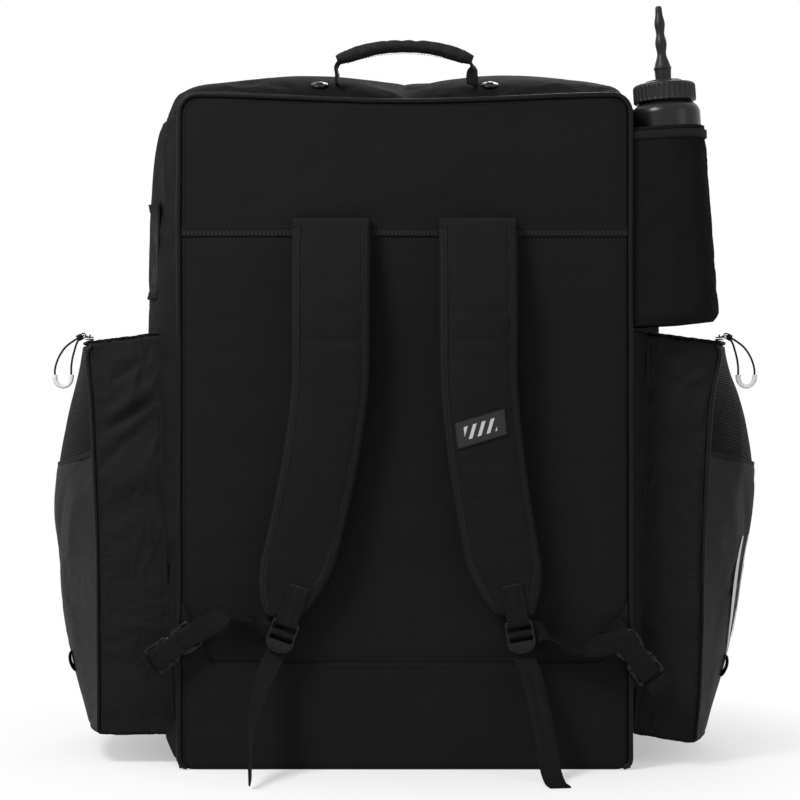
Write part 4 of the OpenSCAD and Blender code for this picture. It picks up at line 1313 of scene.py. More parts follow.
def slider_body(name, length, width, place):
    """A zip slider: two shaped plates and a crown loop, along its own X."""
    outline = rounded([(-length / 2, -width * 0.36), (0, -width / 2), (length * 0.42, -width / 2),
                       (length / 2, -width * 0.2), (length / 2, width * 0.2), (length * 0.42, width / 2),
                       (0, width / 2), (-length / 2, width * 0.36)], width * 0.16)
    low_plate = plate(f"{name}_a", [outline], 0.0012, 0.0004)
    top_plate = placed(plate(f"{name}_b", [outline * 0.94], 0.0012, 0.0005),
                       Matrix.Translation((0, 0, 0.0023)))
    a = np.linspace(0, np.pi, 12)
    loop = tube(f"{name}_c", xyz(length * 0.3 * np.cos(a), 0, 0.0028 + 0.0026 * np.sin(a)),
                0.0007, 8, (0, 1, 0))
    return placed(join(name, [low_plate, top_plate, loop], 40), place)


def door_sliders():
    for word, side in SIDES.items():
        node = f"{word}_door_slider"
        at = (low(node) + high(node)) / 2
        x, top = at.x, high(node).z
        turn = Matrix.Rotation(-math.pi / 2, 4, "X") @ Matrix.Rotation(-math.pi / 2, 4, "Z")
        place = Matrix.Translation((x, front_y + 0.0014, top - 0.008)) @ turn
        body = slider_body(f"{node}_metal", 0.015, 0.0096, place)
        fit(body, "slider", node, node)
        outline = rounded([(-0.003, -0.017), (0.003, -0.017), (0.0026, 0.017), (-0.0026, 0.017)], 0.0022)
        hole = window(-0.0012, 0.011, 0.0012, 0.0145, 0.0009)
        pull = plate(f"{node}_pull", [outline, hole], 0.0014, 0.0005)
        placed(pull, Matrix.Translation((x, front_y + 0.0062, top - 0.0225)) @ STAND)
        fit(pull, "slider", node)


door_sliders()


def door_hinge_cloth():
    """The strip of cloth along the door's foot, where the door opens; here it is a fixed sheet that does
    not bend.
    """
    cols, rows = 80, 14
    x = np.linspace(-door_half_w + 0.002, door_half_w - 0.002, cols)
    z = np.linspace(door_foot_z - 0.010, door_foot_z + 0.010, rows)
    bulge = 0.0012 * np.sin(np.linspace(0, np.pi, rows))[:, None]
    grid_x, grid_z = np.meshgrid(-x, z)
    points = xyz(grid_x, front_y + 0.0006 + bulge, grid_z)
    strip = thicken(grid("door_hinge_cloth", points), 0.001)
    dress(strip, "ripstop")
    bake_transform(strip)


door_hinge_cloth()


# ---------- shoulder straps ----------

binding_w = 0.010


def strap_point(z, across, side, lift=0.0):
    """A place on a strap's front face; across runs from -1 at its left edge to 1."""
    half = strap_half(z) * across
    shape = np.maximum(1e-4, 1 - np.abs(across) ** 5) ** 0.5
    y = strap_y(z) - strap_t / 2 * shape - lift
    return xyz(strap_x(z, side) + half, y, z)


# Each crease's height, its slope away from the middle, and its depth
STRAP_CREASES = ((0.520, 0.05, 0.0022), (0.503, 0.10, -0.0010), (0.478, 0.16, 0.0018),
                 (0.345, 0.08, 0.0016), (0.300, 0.10, 0.0014), (0.560, 0.0, 0.0010),
                 (0.430, 0.12, 0.0010), (0.250, 0.0, 0.0012))
crease_w = 0.0052


def strap_creases(z, x):
    """Soft creases across a strap, as depths."""
    p = xyz(x * 0.35, 0, z)
    soft = np.maximum(0, rough(p, 0.034, 51, 2))
    uneven = 0.55 + 0.45 * np.clip(wavy(p * [3, 1, 1], 0.03, 59), -1, 1)
    lines = 0
    for at, lean, depth in STRAP_CREASES:
        off = z - at - lean * np.abs(x) - 0.003 * np.sin(60 * x + 9 * at)
        lines = lines + depth * uneven * np.exp(-(off / crease_w) ** 2)
    return 0.0016 * soft ** 1.5 + 0.0005 * wavy(p, 0.012, 57) + lines


def strap_pad(word, side):
    rings, n = 200, 44
    z = np.linspace(strap_end_z, strap_top_z, rings)[:, None]
    a = np.linspace(0, 2 * np.pi, n, endpoint=False)[None, :]
    c, s = np.cos(a), np.sin(a)
    across = np.sign(c) * np.abs(c) ** 0.45
    depth = np.sign(s) * np.abs(s) ** 0.7
    half = strap_half(z) - 0.0012
    x = strap_x(z, side) + half * across
    swelling = 0.90 + 0.16 * swell((strap_top_z - z) / (strap_top_z - strap_end_z), 0.25)
    inner = limited((1 - np.abs(across)) / 0.28)
    crease = strap_creases(z + 0 * a, x) * inner
    y = strap_y(z) + (strap_t / 2 * swelling - crease) * depth * (0.72 + 0.28 * inner)
    points = xyz(x, y, z)
    pad = grid(f"{word}_strap_padding", points[:, ::-1], wrap=True, caps=True)
    # Only the ring at the strap's lower end is held, and most firmly at its edges
    held = limited(1 - inner[:, ::-1].ravel() * 1.6)
    crumple(pad, growth=0.02, pressure=1.2, cap=0.0022, frames=16, pins=held, bending=0.8)
    fit(pad, "strap_knit", "bag", f"{word}_strap_pad")
    return pad


def strap_binding(word, side):
    """Grosgrain folded over each edge, with two rows of stitches through it."""
    rows = []
    for edge in (-1, 1):
        z = np.linspace(strap_end_z + 0.001, strap_top_z - 0.001, 240)
        half = strap_half(z)
        x = strap_x(z, side) + edge * half
        path = xyz(x, strap_y(z), z)
        inward = np.tile([-edge * 1.0, 0.0, 0.0], (len(z), 1))
        along = tangents(path)
        inward = unit(inward - along * np.sum(inward * along, 1, keepdims=True))
        front = np.cross(along, inward)
        if front[0, 1] > 0:
            front = -front
        t = strap_t / 2
        outer = np.array([(binding_w, 0.80), (binding_w * 0.7, 0.83), (binding_w * 0.4, 0.80),
                          (binding_w * 0.15, 0.66), (-0.0004, 0.34)])
        section = np.vstack([outer, [(-0.0010, 0.0)], outer[::-1] * [1, -1]]) * [1, t]
        wobble = 1 + 0.03 * wavy(path, 0.02, 61 + edge)[:, None]
        points = (path[:, None] + inward[:, None] * section[None, :, :1]
                  + front[:, None] * section[None, :, 1:] * wobble[..., None])
        binding = grid(f"{word}_strap_binding_{'a' if edge < 0 else 'b'}", points, flip=(edge > 0))
        thicken(binding, 0.0009, 1.0)
        fit(binding, "binding", "bag")
        for share in (0.30, 0.78):
            proud = t * (0.80 if share < 0.5 else 0.84) + 0.0009
            rows.append((path + inward * binding_w * share + front * proud, front))
    sew(f"{word}_strap_stitches", rows, pitch=0.0034, length=0.0026)


def strap_hem(word, side):
    """The flat hem where the strap is sewn down, at its top."""
    z = strap_top_z - 0.004
    cols = 60
    share = np.linspace(-0.985, 0.985, cols)
    line = strap_point(np.full(cols, z), share, side)
    line[:, 1] = strap_y(z) - strap_t / 2 * 0.86
    hem = sweep(f"{word}_strap_hem", line, -UP, flat_profile(0.010, 0.0022, 0.0003))
    fit(hem, "binding", "bag")
    rows = [(line + [0, -0.0012, d], TO_STRAPS) for d in (-0.003, 0.003)]
    sew(f"{word}_strap_hem_stitches", rows)


pad_faces = {}
for word, side in SIDES.items():
    pad_faces[side] = surface_of(strap_pad(word, side))
    strap_binding(word, side)
    strap_hem(word, side)


badge_low, badge_high = 0.370, 0.400


def strap_badge():
    """The plain woven patch on the right strap, with a sewn edge."""
    z = np.linspace(badge_low, badge_high, 24)[:, None]
    share = np.linspace(-0.74, 0.62, 44)[None, :]
    base_z = z + 0.0125 * (share + 0.7)
    p = strap_point(base_z + 0 * share, share + 0 * z, 1, 0.0006)
    p = laid_on(p, pad_faces[1], 0.0004)
    badge = thicken(grid("right_strap_badge", p), 0.0006, 1.0)
    fit(badge, "patch_weave", "bag")
    ring = np.vstack([p[0], p[:, -1], p[-1, ::-1], p[::-1, 0]]) + [0, -0.0008, 0]
    sew("right_strap_badge_edge", [(ring, TO_STRAPS)], pitch=0.002, length=0.0019)


strap_badge()


# ---------- ladder locks, patches and tails ----------

bar_r = 0.0022
rail_w = 0.003
lock_t = 0.005
lock_half = web_w / 2 + 0.001 + rail_w
lock_lean = math.atan(float(strap_y(strap_end_z) - strap_y(strap_end_z + 0.040)) / 0.040)
lock_y = float(strap_y(strap_end_z)) - strap_t / 2 + bar_r
lock_tilt = {-1: math.radians(20), 1: math.radians(-10)}
lock_shift = {-1: 0.003, 1: 0.004}
lock_place = {s: np.array([float(strap_x(strap_end_z, s)) + lock_shift[s], lock_y, strap_end_z - 0.009])
              for s in (-1, 1)}


def lock_matrix(side):
    return (Matrix.Translation(lock_place[side].tolist()) @ Matrix.Rotation(lock_tilt[side], 4, "Y")
            @ Matrix.Rotation(lock_lean, 4, "X"))


def turned_by(matrix, direction):
    return np.array(matrix.to_3x3() @ Vector(direction))


def from_frame(matrix, points):
    return np.array([tuple(matrix @ Vector(p)) for p in np.asarray(points, float)])


def ladder_lock(word, side):
    """A moulded frame with two slots, a ribbed middle bar and a rounded tongue."""
    h = lock_half
    a = np.linspace(0, np.pi, 17)
    tongue = np.stack([h * np.cos(a), -0.022 - 0.013 * np.sin(a)], 1)[1:-1]
    outer = np.vstack([rounded([(-h, -0.022), (-h * 0.96, 0.0034), (h * 0.96, 0.0034), (h, -0.022)],
                               [0.0001, 0.0042, 0.0042, 0.0001], 7), tongue])
    slot_a = window(-h + rail_w, -0.0095, h - rail_w, -0.0022, 0.0012)
    slot_b = window(-h + rail_w, -0.0205, h - rail_w, -0.0150, 0.0010)
    parts = [placed(plate(f"{word}_lock_frame", [outer, slot_a, slot_b], lock_t, 0.0011, 4), STAND)]
    for z in (-0.0108, -0.0137):
        bar_line = [(x, -lock_t / 2 + 0.0002, z) for x in np.linspace(-h + 0.003, h - 0.003, 12)]
        parts.append(tube(f"{word}_lock_bar{z}", bar_line, 0.0009, 8, UP))
    lip_x = np.linspace(-0.011, 0.011, 24)
    lip_line = xyz(lip_x, -lock_t / 2, -0.0315 + 6.0 * lip_x ** 2)
    parts.append(tube(f"{word}_lock_lip", lip_line, 0.0009, 8, UP))
    lock = join(f"{word}_ladder_lock_moulded", parts, moulded_sharp)
    fit(placed(lock, lock_matrix(side)), "buckle", f"{word}_lock", f"{word}_ladder_lock")


def strap_patch(word, side):
    """Webbing sewn to the strap's end and folded round the lock's top bar."""
    m = lock_matrix(side)
    top = 0.046
    loop = [(0, 0.0034, 0.012), (0, 0.0034, 0.002)]
    a = np.linspace(0.15 * np.pi, 0.85 * np.pi, 7)
    loop += [(0, 0.0036 * math.cos(t), -0.0036 * math.sin(t)) for t in a]
    loop += [(0, -0.0036, 0.001), (0, -0.0038, 0.006), (0, -0.0037, 0.014), (0, -0.0036, 0.024),
             (0, -0.0036, 0.036), (0, -0.0036, top)]
    path = from_frame(m, loop)
    # The sewn stretch lies on the strap's face
    on_pad = laid_on(path, pad_faces[side], web_t / 2 + 0.0001)
    for p, q, r in zip(path, loop, on_pad):
        if q[1] < 0 and q[2] > 0.008:
            p[1] = mix(p[1], min(r[1], p[1] + 0.004), limited((q[2] - 0.008) / 0.010))
    x_dir, z_dir = turned_by(m, (1, 0, 0)), turned_by(m, (0, 0, 1))
    patch = band(f"{word}_strap_patch_webbing", path, x_dir, count=90)
    fit(patch, "webbing", "bag", f"{word}_strap_patch")
    patch_face = surface_of(patch)
    mid = lock_place[side] + z_dir * (top - 0.013)
    w, h = web_w / 2 - 0.003, 0.010

    def on_face(corners):
        made = []
        for (ax, az), (bx, bz) in zip(corners, corners[1:]):
            for t in np.linspace(0, 1, 8, endpoint=False):
                made.append(mid + x_dir * mix(ax, bx, t) + z_dir * mix(az, bz, t))
        made = np.array(made + [mid + x_dir * corners[-1][0] + z_dir * corners[-1][1]])
        return laid_on(made, patch_face, 0.0), TO_STRAPS
    frame_line = on_face([(-w, -h), (w, -h), (w, h), (-w, h), (-w, -h)])
    cross = [on_face([(-w, -h), (w, h)]), on_face([(-w, h), (w, -h)])]
    sew(f"{word}_strap_patch_stitches", [frame_line] + cross, pitch=0.0028, length=0.0022)
    hem = on_face([(-w - 0.002, h + 0.0015), (w + 0.002, h + 0.0015)])
    sew(f"{word}_strap_patch_hem", [hem], finish="bright_thread", pitch=0.0022, length=0.0020)


# The loose ends below the locks: millimetres across and out from the lock, the share of its
# height, and the heading of the webbing's width in degrees
TAILS = {
    -1: [(-20, -3, 0.7, -10), (-28, -13, 0.57, -25), (-33.5, -33, 0.42, -55), (-35, -62, 0.27, -80),
         (-34.5, -92, 0.13, -90), (-34.5, -108, 0.083, -90)],
    1: [(14, -4, 0.68, 3), (22, -12, 0.48, 5), (29, -27, 0.27, 8), (33, -49, 0.09, 8),
        (37, -74, 0.014, 6), (41, -100, 0.008, 12)],
}
tail_y = 0.0032
anchor_y = 0.0064
SHORT_STITCH = {"pitch": 0.0026, "length": 0.0021}


def strap_tail(word, side):
    """The loose end of the adjusting webbing, from over the lock's bar down to the floor."""
    m = lock_matrix(side)
    over = [(0, tail_y + 0.0004, -0.0095), (0, 0.0006, -0.0088), (0, -lock_t / 2 - 0.0004, -0.0098),
            (0, -lock_t / 2 - 0.0010, -0.0123), (0, -lock_t / 2 - 0.0004, -0.0148),
            (0, 0.0004, -0.0168), (0, tail_y, -0.0200), (0, tail_y, -0.030), (0, tail_y, -0.040)]
    free = [lock_place[side] + [dx * 0.001, dy * 0.001, 0] for dx, dy, _, _ in TAILS[side]]
    for p, (_, _, share, _) in zip(free, TAILS[side]):
        p[2] = lock_place[side][2] * share
    path = np.vstack([from_frame(m, over), free])
    level = turned_by(m, (1, 0, 0))
    widths = [level] * len(over) + [(math.cos(math.radians(h)), math.sin(math.radians(h)), 0)
                                    for _, _, _, h in TAILS[side]]
    tail = band(f"{word}_strap_tail_webbing", path, widths, web_w - 0.001, web_t, 150)
    fit(tail, "webbing", f"{word}_lock", f"{word}_strap_tail")
    both = curve_through(np.hstack([path, np.array(widths, float)]), 150)
    end = both[-12:]
    along = tangents(end[:, :3])
    across = unit(end[:, 3:] - along * np.sum(end[:, 3:] * along, 1, keepdims=True))
    up = np.cross(along, across)
    fold = sweep(f"{word}_strap_tail_fold", end[:, :3] + up * 0.0009, across,
                 flat_profile(web_w - 0.0012, 0.0014))
    fit(fold, "webbing", f"{word}_lock")
    rows = []
    for at in (2, 5):
        ends = [end[at, :3] + across[at] * k * (web_w / 2 - 0.003) + up[at] * 0.0017 for k in (-1, 1)]
        rows.append((np.linspace(ends[0], ends[1], 10), up[at]))
    sew(f"{word}_strap_tail_stitches", rows, f"{word}_lock", **SHORT_STITCH)


for_both_sides(ladder_lock, strap_patch, strap_tail)


# ---------- side release buckles ----------

buckle_t = 0.011
buckle_l = 0.056
buckle_inner = web_w / 2 + 0.0015
buckle_half = buckle_inner + rail_w
buckle_y = back_y - piping_r - 0.0036 - buckle_t / 2
buckle_place = {-1: np.array([-edge_x - 0.027, buckle_y, seam_z + 0.005]),
                1: np.array([edge_x + 0.022, buckle_y, seam_z - 0.012])}
buckle_heading = {-1: math.radians(-36), 1: math.radians(-127)}
plug_l = 0.020
web_front = -buckle_t / 2 - 0.0006
web_reach = buckle_l - 0.017


def buckle_matrix(side):
    return Matrix.Translation(buckle_place[side].tolist()) @ Matrix.Rotation(buckle_heading[side], 4, "Y")


def buckle_male(word, side):
    """The plug: a webbing bar between two rails, a collar, two springy arms and a guide."""
    b, inner = buckle_half, buckle_inner
    outline = window(-0.0022, -b, plug_l - 0.0004, b, 0.0022)
    hole = window(0.0022, -inner, 0.0092, inner, 0.0012)
    head = plate("male_head", [outline, hole], 0.0052, 0.0012, 4)
    parts = [head]
    for s in (-1, 1):
        arm = rounded([(plug_l - 0.001, s * (inner - 0.0062)), (plug_l - 0.001, s * (inner - 0.0018)),
                       (plug_l + 0.012, s * (inner - 0.0008)), (plug_l + 0.0150, s * (b - 0.0012)),
                       (plug_l + 0.0205, s * (b - 0.0024)), (plug_l + 0.0215, s * (inner - 0.004))][::s],
                      0.0014)
        parts.append(plate(f"male_arm{s}", [arm], 0.0038, 0.0008, 3))
    guide = rounded([(plug_l - 0.001, -0.0016), (plug_l + 0.014, -0.0012), (plug_l + 0.016, 0),
                     (plug_l + 0.014, 0.0012), (plug_l - 0.001, 0.0016)], 0.0006)
    parts.append(plate("male_guide", [guide], 0.003, 0.0005, 2))
    male = join(f"{word}_buckle_male_moulded", parts, moulded_sharp)
    fit(placed(male, buckle_matrix(side) @ STAND), "buckle", f"{word}_plug", f"{word}_buckle_male")


def buckle_female(word, side):
    """The socket: two shells with side windows, walls between them, and a bar for the tab's loop."""
    b, inner = buckle_half, buckle_inner
    x0, x1 = plug_l + 0.0002, buckle_l + 0.003
    a = np.linspace(math.radians(148), math.radians(32), 9)
    bite = np.stack([plug_l + 0.012 + 0.009 * np.cos(a), b + 0.0045 - 0.009 * np.sin(a)], 1)
    rear_edge = rounded([(x1 - 0.010, -b), (x1, -b + 0.001), (x1, b - 0.001), (x1 - 0.010, b)],
                        [0.0001, 0.004, 0.004, 0.0001])
    outline = np.vstack([[(x0, -b)], bite * [1, -1], rear_edge, bite[::-1], [(x0, b)]])
    slot_hole = window(x1 - 0.0098, -inner, x1 - 0.0038, inner, 0.0012)
    parts = []
    for k in (-1, 1):
        shell_plate = plate(f"shell{k}", [outline, slot_hole], 0.0026, 0.0010, 4)
        parts.append(placed(shell_plate, Matrix.Translation((0, 0, k * (buckle_t / 2 - 0.0013)))))
    deep = buckle_t - 0.0030
    for s in (-1, 1):
        wall = rounded([(x0 + 0.0005, s * (b - 0.0003)), (x0 + 0.0040, s * (b - 0.0003)),
                        (x0 + 0.0036, s * (b - 0.0022)), (x0 + 0.0005, s * (b - 0.0018))][::s], 0.0003)
        parts.append(plate(f"wall{s}", [wall], deep, 0.0003, 1))
        near = s * (inner + 0.0002)
        rear = rounded([(x1 - 0.0150, s * (b - 0.0003)), (x1 - 0.001, s * (b - 0.0012)),
                        (x1 - 0.001, near), (x1 - 0.0150, near)][::s], 0.0006)
        parts.append(plate(f"rear{s}", [rear], deep, 0.0003, 1))
    for part, back, front, bevel in (("rear_wall", 0.0125, 0.0100, 0.0004),
                                     ("rear_bar", 0.0036, 0.0004, 0.0006)):
        parts.append(box_piece(part, (x1 - back, -inner, -deep / 2), (x1 - front, inner, deep / 2), bevel))
    crest = rounded([(x0 + 0.004, -0.006), (x1 - 0.014, -0.008), (x1 - 0.014, 0.008),
                     (x0 + 0.004, 0.006)], 0.003)
    raised = plate("crest", [crest], 0.0012, 0.0005, 3)
    parts.append(placed(raised, Matrix.Translation((0, 0, buckle_t / 2 + 0.0001))))
    female = join(f"{word}_buckle_female_moulded", parts, moulded_sharp)
    fit(placed(female, buckle_matrix(side) @ STAND), "buckle", "bag", f"{word}_buckle_female")


def buckle_webbing(word, side):
    """Webbing round the plug's bar: over the buckle on one side, and its folded end beyond."""
    m = buckle_matrix(side)
    y = web_front - web_t / 2
    a = np.linspace(-0.5 * np.pi, 0.5 * np.pi, 7)
    around = [(-0.0008 - 0.0034 * math.cos(t), 0.0034 * math.sin(t), 0) for t in a]
    far = web_reach
    over = [(far, y, 0), (mix(far, 0.012, 0.4), y - 0.0002, 0), (0.012, y, 0), (0.006, y + 0.0012, 0),
            (0.001, -0.0052, 0)] + around + [(0.004, 0.0036, 0), (0.0085, 0.0030, 0)]
    width = turned_by(m, (0, 0, 1))
    path = from_frame(m, over)
    main = band(f"{word}_buckle_webbing_run", path, width, count=80)
    fit(main, "webbing", f"{word}_plug", f"{word}_buckle_webbing")
    tail = [(-0.0042, -0.0030, 0), (-0.008, -0.0032, 0), (-0.013, -0.0033, 0), (-0.019, -0.0031, 0)]
    path = from_frame(m, tail)
    piece = band(f"{word}_buckle_webbing_end", path, width, web_w, 2 * web_t, 30)
    fit(piece, "webbing", f"{word}_plug")
    rows = []
    for x in (-0.007, -0.016):
        ends = from_frame(m, [(x, -0.0049, -web_w / 2 + 0.003), (x, -0.0049, web_w / 2 - 0.003)])
        rows.append((np.linspace(ends[0], ends[1], 10), TO_STRAPS))
    sew(f"{word}_buckle_webbing_stitches", rows, f"{word}_plug", **SHORT_STITCH)


# The anchor webbing's line: share of the way from lock to buckle, and millimetres above the chord
RISE = {-1: [(0.13, 8), (0.27, 16), (0.42, 19), (0.6, 17), (0.78, 9)],
        1: [(0.13, -1), (0.27, -9), (0.42, -15), (0.6, -14), (0.78, -7)]}


def anchor_webbing(word, side):
    """Webbing from behind the lock, over on its edge, and flat onto the buckle. The right one sags."""
    lock, buckle = lock_matrix(side), buckle_matrix(side)
    start = from_frame(lock, [(side * 0.001, anchor_y, -0.012), (side * 0.015, anchor_y, -0.012)])
    face = web_front - web_t / 2
    end = from_frame(buckle, [(web_reach + rest_gap + x, face, 0) for x in (0.012, 0.0)])
    rise = [mix(start[1], end[0], t) + [0, 0, up * 0.001] for t, up in RISE[side]]
    upright = np.array([math.sin(lock_tilt[side]), 0, math.cos(lock_tilt[side])])
    h = buckle_heading[side]
    flat = np.array([math.sin(h), 0, math.cos(h)]) * -side
    edge = TO_DOOR
    widths = [upright, upright, mix(upright, edge, 0.5), edge, edge, mix(edge, flat, 0.6), flat, flat, flat]
    run = band(f"{word}_anchor_webbing_run", np.vstack([start, rise, end]), widths, count=140)
    fit(run, "webbing", "bag", f"{word}_anchor_webbing")


def corner_tab(word, side):
    """The sewn triangle at the lower corner, and the webbing loop that holds the buckle."""
    tab_h, tab_w = 0.076, 0.038
    edge = edge_x - piping_r - 0.0002
    triangle = [(side * edge, seam_z), (side * edge, seam_z + tab_h), (side * (edge_x - tab_w), seam_z)]
    outline = rounded(triangle[::-side], 0.0015, 4)
    tab = plate(f"{word}_corner_tab_cloth", [outline], 0.0018, 0.0006, 3)
    placed(tab, Matrix.Translation((0, back_y - 0.0013, 0)) @ STAND)
    planar_uv(tab)
    fit(tab, "ripstop", "bag", f"{word}_corner_tab")
    m = buckle_matrix(side)
    loop_x = buckle_l + 0.0006
    floor_y = back_y - 0.002 - buckle_y
    a = np.linspace(0.5 * np.pi, 1.5 * np.pi, 7)
    around = [(loop_x + 0.0026 * math.cos(t), 0.0026 * math.sin(t), 0) for t in a]
    path = [(loop_x + 0.018, floor_y - 0.0010, 0), (loop_x + 0.009, floor_y - 0.0024, 0),
            (loop_x + 0.003, 0.0028, 0)] + around[1:-1] + [(loop_x + 0.003, -0.0026, 0),
            (loop_x + 0.009, floor_y - 0.0046, 0), (loop_x + 0.018, floor_y - 0.0028, 0)]
    width = turned_by(m, (0, 0, 1))
    points = from_frame(m, path)
    loop = band(f"{word}_corner_tab_loop", points, width, web_w, web_t, 80)
    fit(loop, "webbing", "bag")
    line = np.linspace((side * (edge_x - tab_w + 0.006), seam_z + 0.004),
                       (side * (edge - 0.004), seam_z + tab_h - 0.014), 20)
    line = xyz(line[:, 0], back_y - 0.0023, line[:, 1])
    sew(f"{word}_corner_tab_stitches", [(line, TO_STRAPS)])


for_both_sides(buckle_male, buckle_female, buckle_webbing, anchor_webbing, corner_tab)


# ---------- grab handle and side handle ----------

grab_w = 0.162
grab_y = back_y + 0.022
grab_arc = math.radians(44)
grab_bend = grab_w / 2 / math.sin(grab_arc / 2)
grab_t = 0.014
grab_depth = 0.030
grab_top_z = high("grab_handle_sleeve").z
grab_foot_z = low("grab_handle_webbing").z + web_w / 2


def grab_handle():
    centre = np.array([0, grab_y, grab_top_z - grab_bend])
    radius = grab_bend - grab_t / 2
    rings = 110
    a = np.linspace(-grab_arc / 2, grab_arc / 2, rings)
    path = centre + radius * xyz(np.sin(a), 0, np.cos(a))
    t = np.linspace(0, 1, rings)
    narrow = 1 - 0.28 * np.abs(2 * t - 1) ** 10
    k = np.linspace(0, 2 * np.pi, 40, endpoint=False)
    shape = np.stack([grab_depth / 2 * np.sign(np.cos(k)) * np.abs(np.cos(k)) ** 0.75,
                      grab_t / 2 * np.sign(np.sin(k)) * np.abs(np.sin(k)) ** 0.85], 1)
    puckers = 1 + 0.03 * np.sin(t * 62)[:, None] * (0.4 + 0.6 * np.abs(np.cos(k)))[None, :]
    profile = shape[None] * (narrow[:, None] * puckers)[..., None]
    sleeve = sweep("grab_handle_padding", path, TO_DOOR, profile)
    ends = np.zeros((rings, 40))
    ends[:8] = ends[-8:] = 1.0
    crumple(sleeve, growth=0.03, pressure=1.0, cap=0.0012, frames=14, pins=ends.ravel(), bending=0.8)
    # The handle's cloth is painted lighter than the rest of the ripstop, as painted light
    fit(sleeve, "handle_fabric", "grab_handle", "grab_handle_sleeve")
    seam = centre + (radius - grab_t / 2 - 0.0002) * xyz(np.sin(a), 0, np.cos(a))
    normal = -xyz(np.sin(a), 0, np.cos(a))
    rows = [(seam[6:-6] + [0, 0.003, 0], normal[6:-6])]
    sew("grab_handle_stitches", rows, "grab_handle")
    end_z = centre[2] + radius * math.cos(grab_arc / 2)
    leg_x = grab_w / 2 - grab_t / 2 * math.sin(grab_arc / 2)
    legs = []
    for s in (-1, 1):
        top = np.array([s * (leg_x - 0.003), grab_y, end_z - 0.001])
        foot = np.array([s * leg_x, grab_y, grab_foot_z])
        points = [foot + [0, 0, -0.0115], foot, foot + [s * 0.0012, 0, (top[2] - foot[2]) * 0.5], top]
        turned = (0.5, 0.86, 0.0) if s > 0 else (0.08, 1.0, 0.0)
        widths = [turned, turned, mix(np.array(turned), TO_DOOR, 0.45), (0.0, 1.0, 0.0)]
        legs.append(band(f"grab_leg{s}", points, widths, web_w, 2 * web_t, 40))
    fit(join("grab_handle_legs", legs), "webbing", "grab_handle", "grab_handle_webbing")


def grab_anchors():
    """Moulded oval discs on the top, where the handle's webbing is fastened."""
    discs = []
    for s in (-1, 1):
        x, y = s * (grab_w / 2 + 0.018), grab_y + 0.004
        profile = [(0.0001, 0.0040), (0.0030, 0.0039), (0.0040, 0.0034), (0.0046, 0.0023), (0.0078, 0.0021),
                   (0.0094, 0.0016), (0.0100, 0.0008), (0.0100, 0.0002), (0.0092, 0.0)]
        disc = lathe(f"disc{s}", profile[::-1], 48)
        lean = Matrix.Rotation(math.radians(24), 4, "X")
        discs.append(placed(disc, Matrix.Translation((x, y, float(top_face_z(x, y)) + 0.0005)) @ lean))
    anchors = join("grab_handle_discs", discs)
    fit(anchors, "buckle", "bag", "grab_handle_anchors")


side_handle_z = 0.600


def side_handle():
    """A webbing handle on the left: its near edge lies on the wall and the rest stands off it."""
    y_in, half, width = back_y + 0.047, 0.056, 0.029
    t = np.linspace(0, 1, 80)
    z = side_handle_z + half * (2 * t - 1)
    ends = np.abs(2 * t - 1) ** 2.2
    turn = np.radians(17 + 14 * ends)
    across = xyz(-np.sin(turn), np.cos(turn), 0)
    inner = xyz(-side_x(y_in, z) - 0.0016, y_in, z)
    sway = 0.0008 * wavy(xyz(0, 0, z), 0.03, 71)[:, None] * [1, 0, 0]
    path = inner + across * width / 2 + sway * (1 - ends)[:, None]
    thick = 2 * web_t * (1 + 0.5 * limited((ends - 0.62) / 0.08))
    profile = np.array([flat_profile(width, h) for h in thick])
    strap = sweep("side_handle_webbing", path, across, profile)
    fit(strap, "webbing", "bag", "side_handle")
    rows = []
    for k in (3, 11, 68, 76):
        out = np.array([-across[k, 1], across[k, 0], 0.0])
        start = path[k] + out * (thick[k] / 2 + 0.0002)
        reach_by = across[k] * (width / 2 - 0.003)
        rows.append((np.linspace(start - reach_by, start + reach_by, 12), out))
    sew("side_handle_stitches", rows)


grab_handle()
grab_anchors()
side_handle()


# ---------- side pockets ----------

def pocket_depths(count):
    """Depths from a pocket's back to its front, closer together near both ends."""
    return pocket_back + pocket_d * (1 - np.cos(np.linspace(0, np.pi, count))) / 2


# Folds beside the pockets: two ends (across, up), width and height, as folds() takes them
WELT_FOLDS = {
    -1: [(-0.354, 0.386, -0.288, 0.426, 0.0065, -0.0040), (-0.350, 0.402, -0.290, 0.444, 0.0075, 0.0036),
         (-0.345, 0.446, -0.306, 0.464, 0.0060, -0.0030), (-0.310, 0.466, -0.322, 0.418, 0.0060, 0.0030),
         (-0.358, 0.343, -0.292, 0.408, 0.0080, -0.0028), (-0.345, 0.470, -0.300, 0.474, 0.0060, 0.0022),
         (-0.352, 0.300, -0.300, 0.362, 0.0100, 0.0016)],
    1: [(0.288, 0.456, 0.330, 0.440, 0.0065, -0.0026), (0.330, 0.440, 0.360, 0.458, 0.0065, 0.0026),
        (0.296, 0.430, 0.352, 0.392, 0.0090, 0.0020), (0.300, 0.395, 0.356, 0.350, 0.0100, -0.0018)],
}


def mesh_line(y):
    """Where the netting meets the cloth below it: lower in the middle of the pocket."""
    return mesh_z + 0.004 - 0.021 * swell((np.asarray(y, float) - pocket_back) / pocket_d, 0.8)


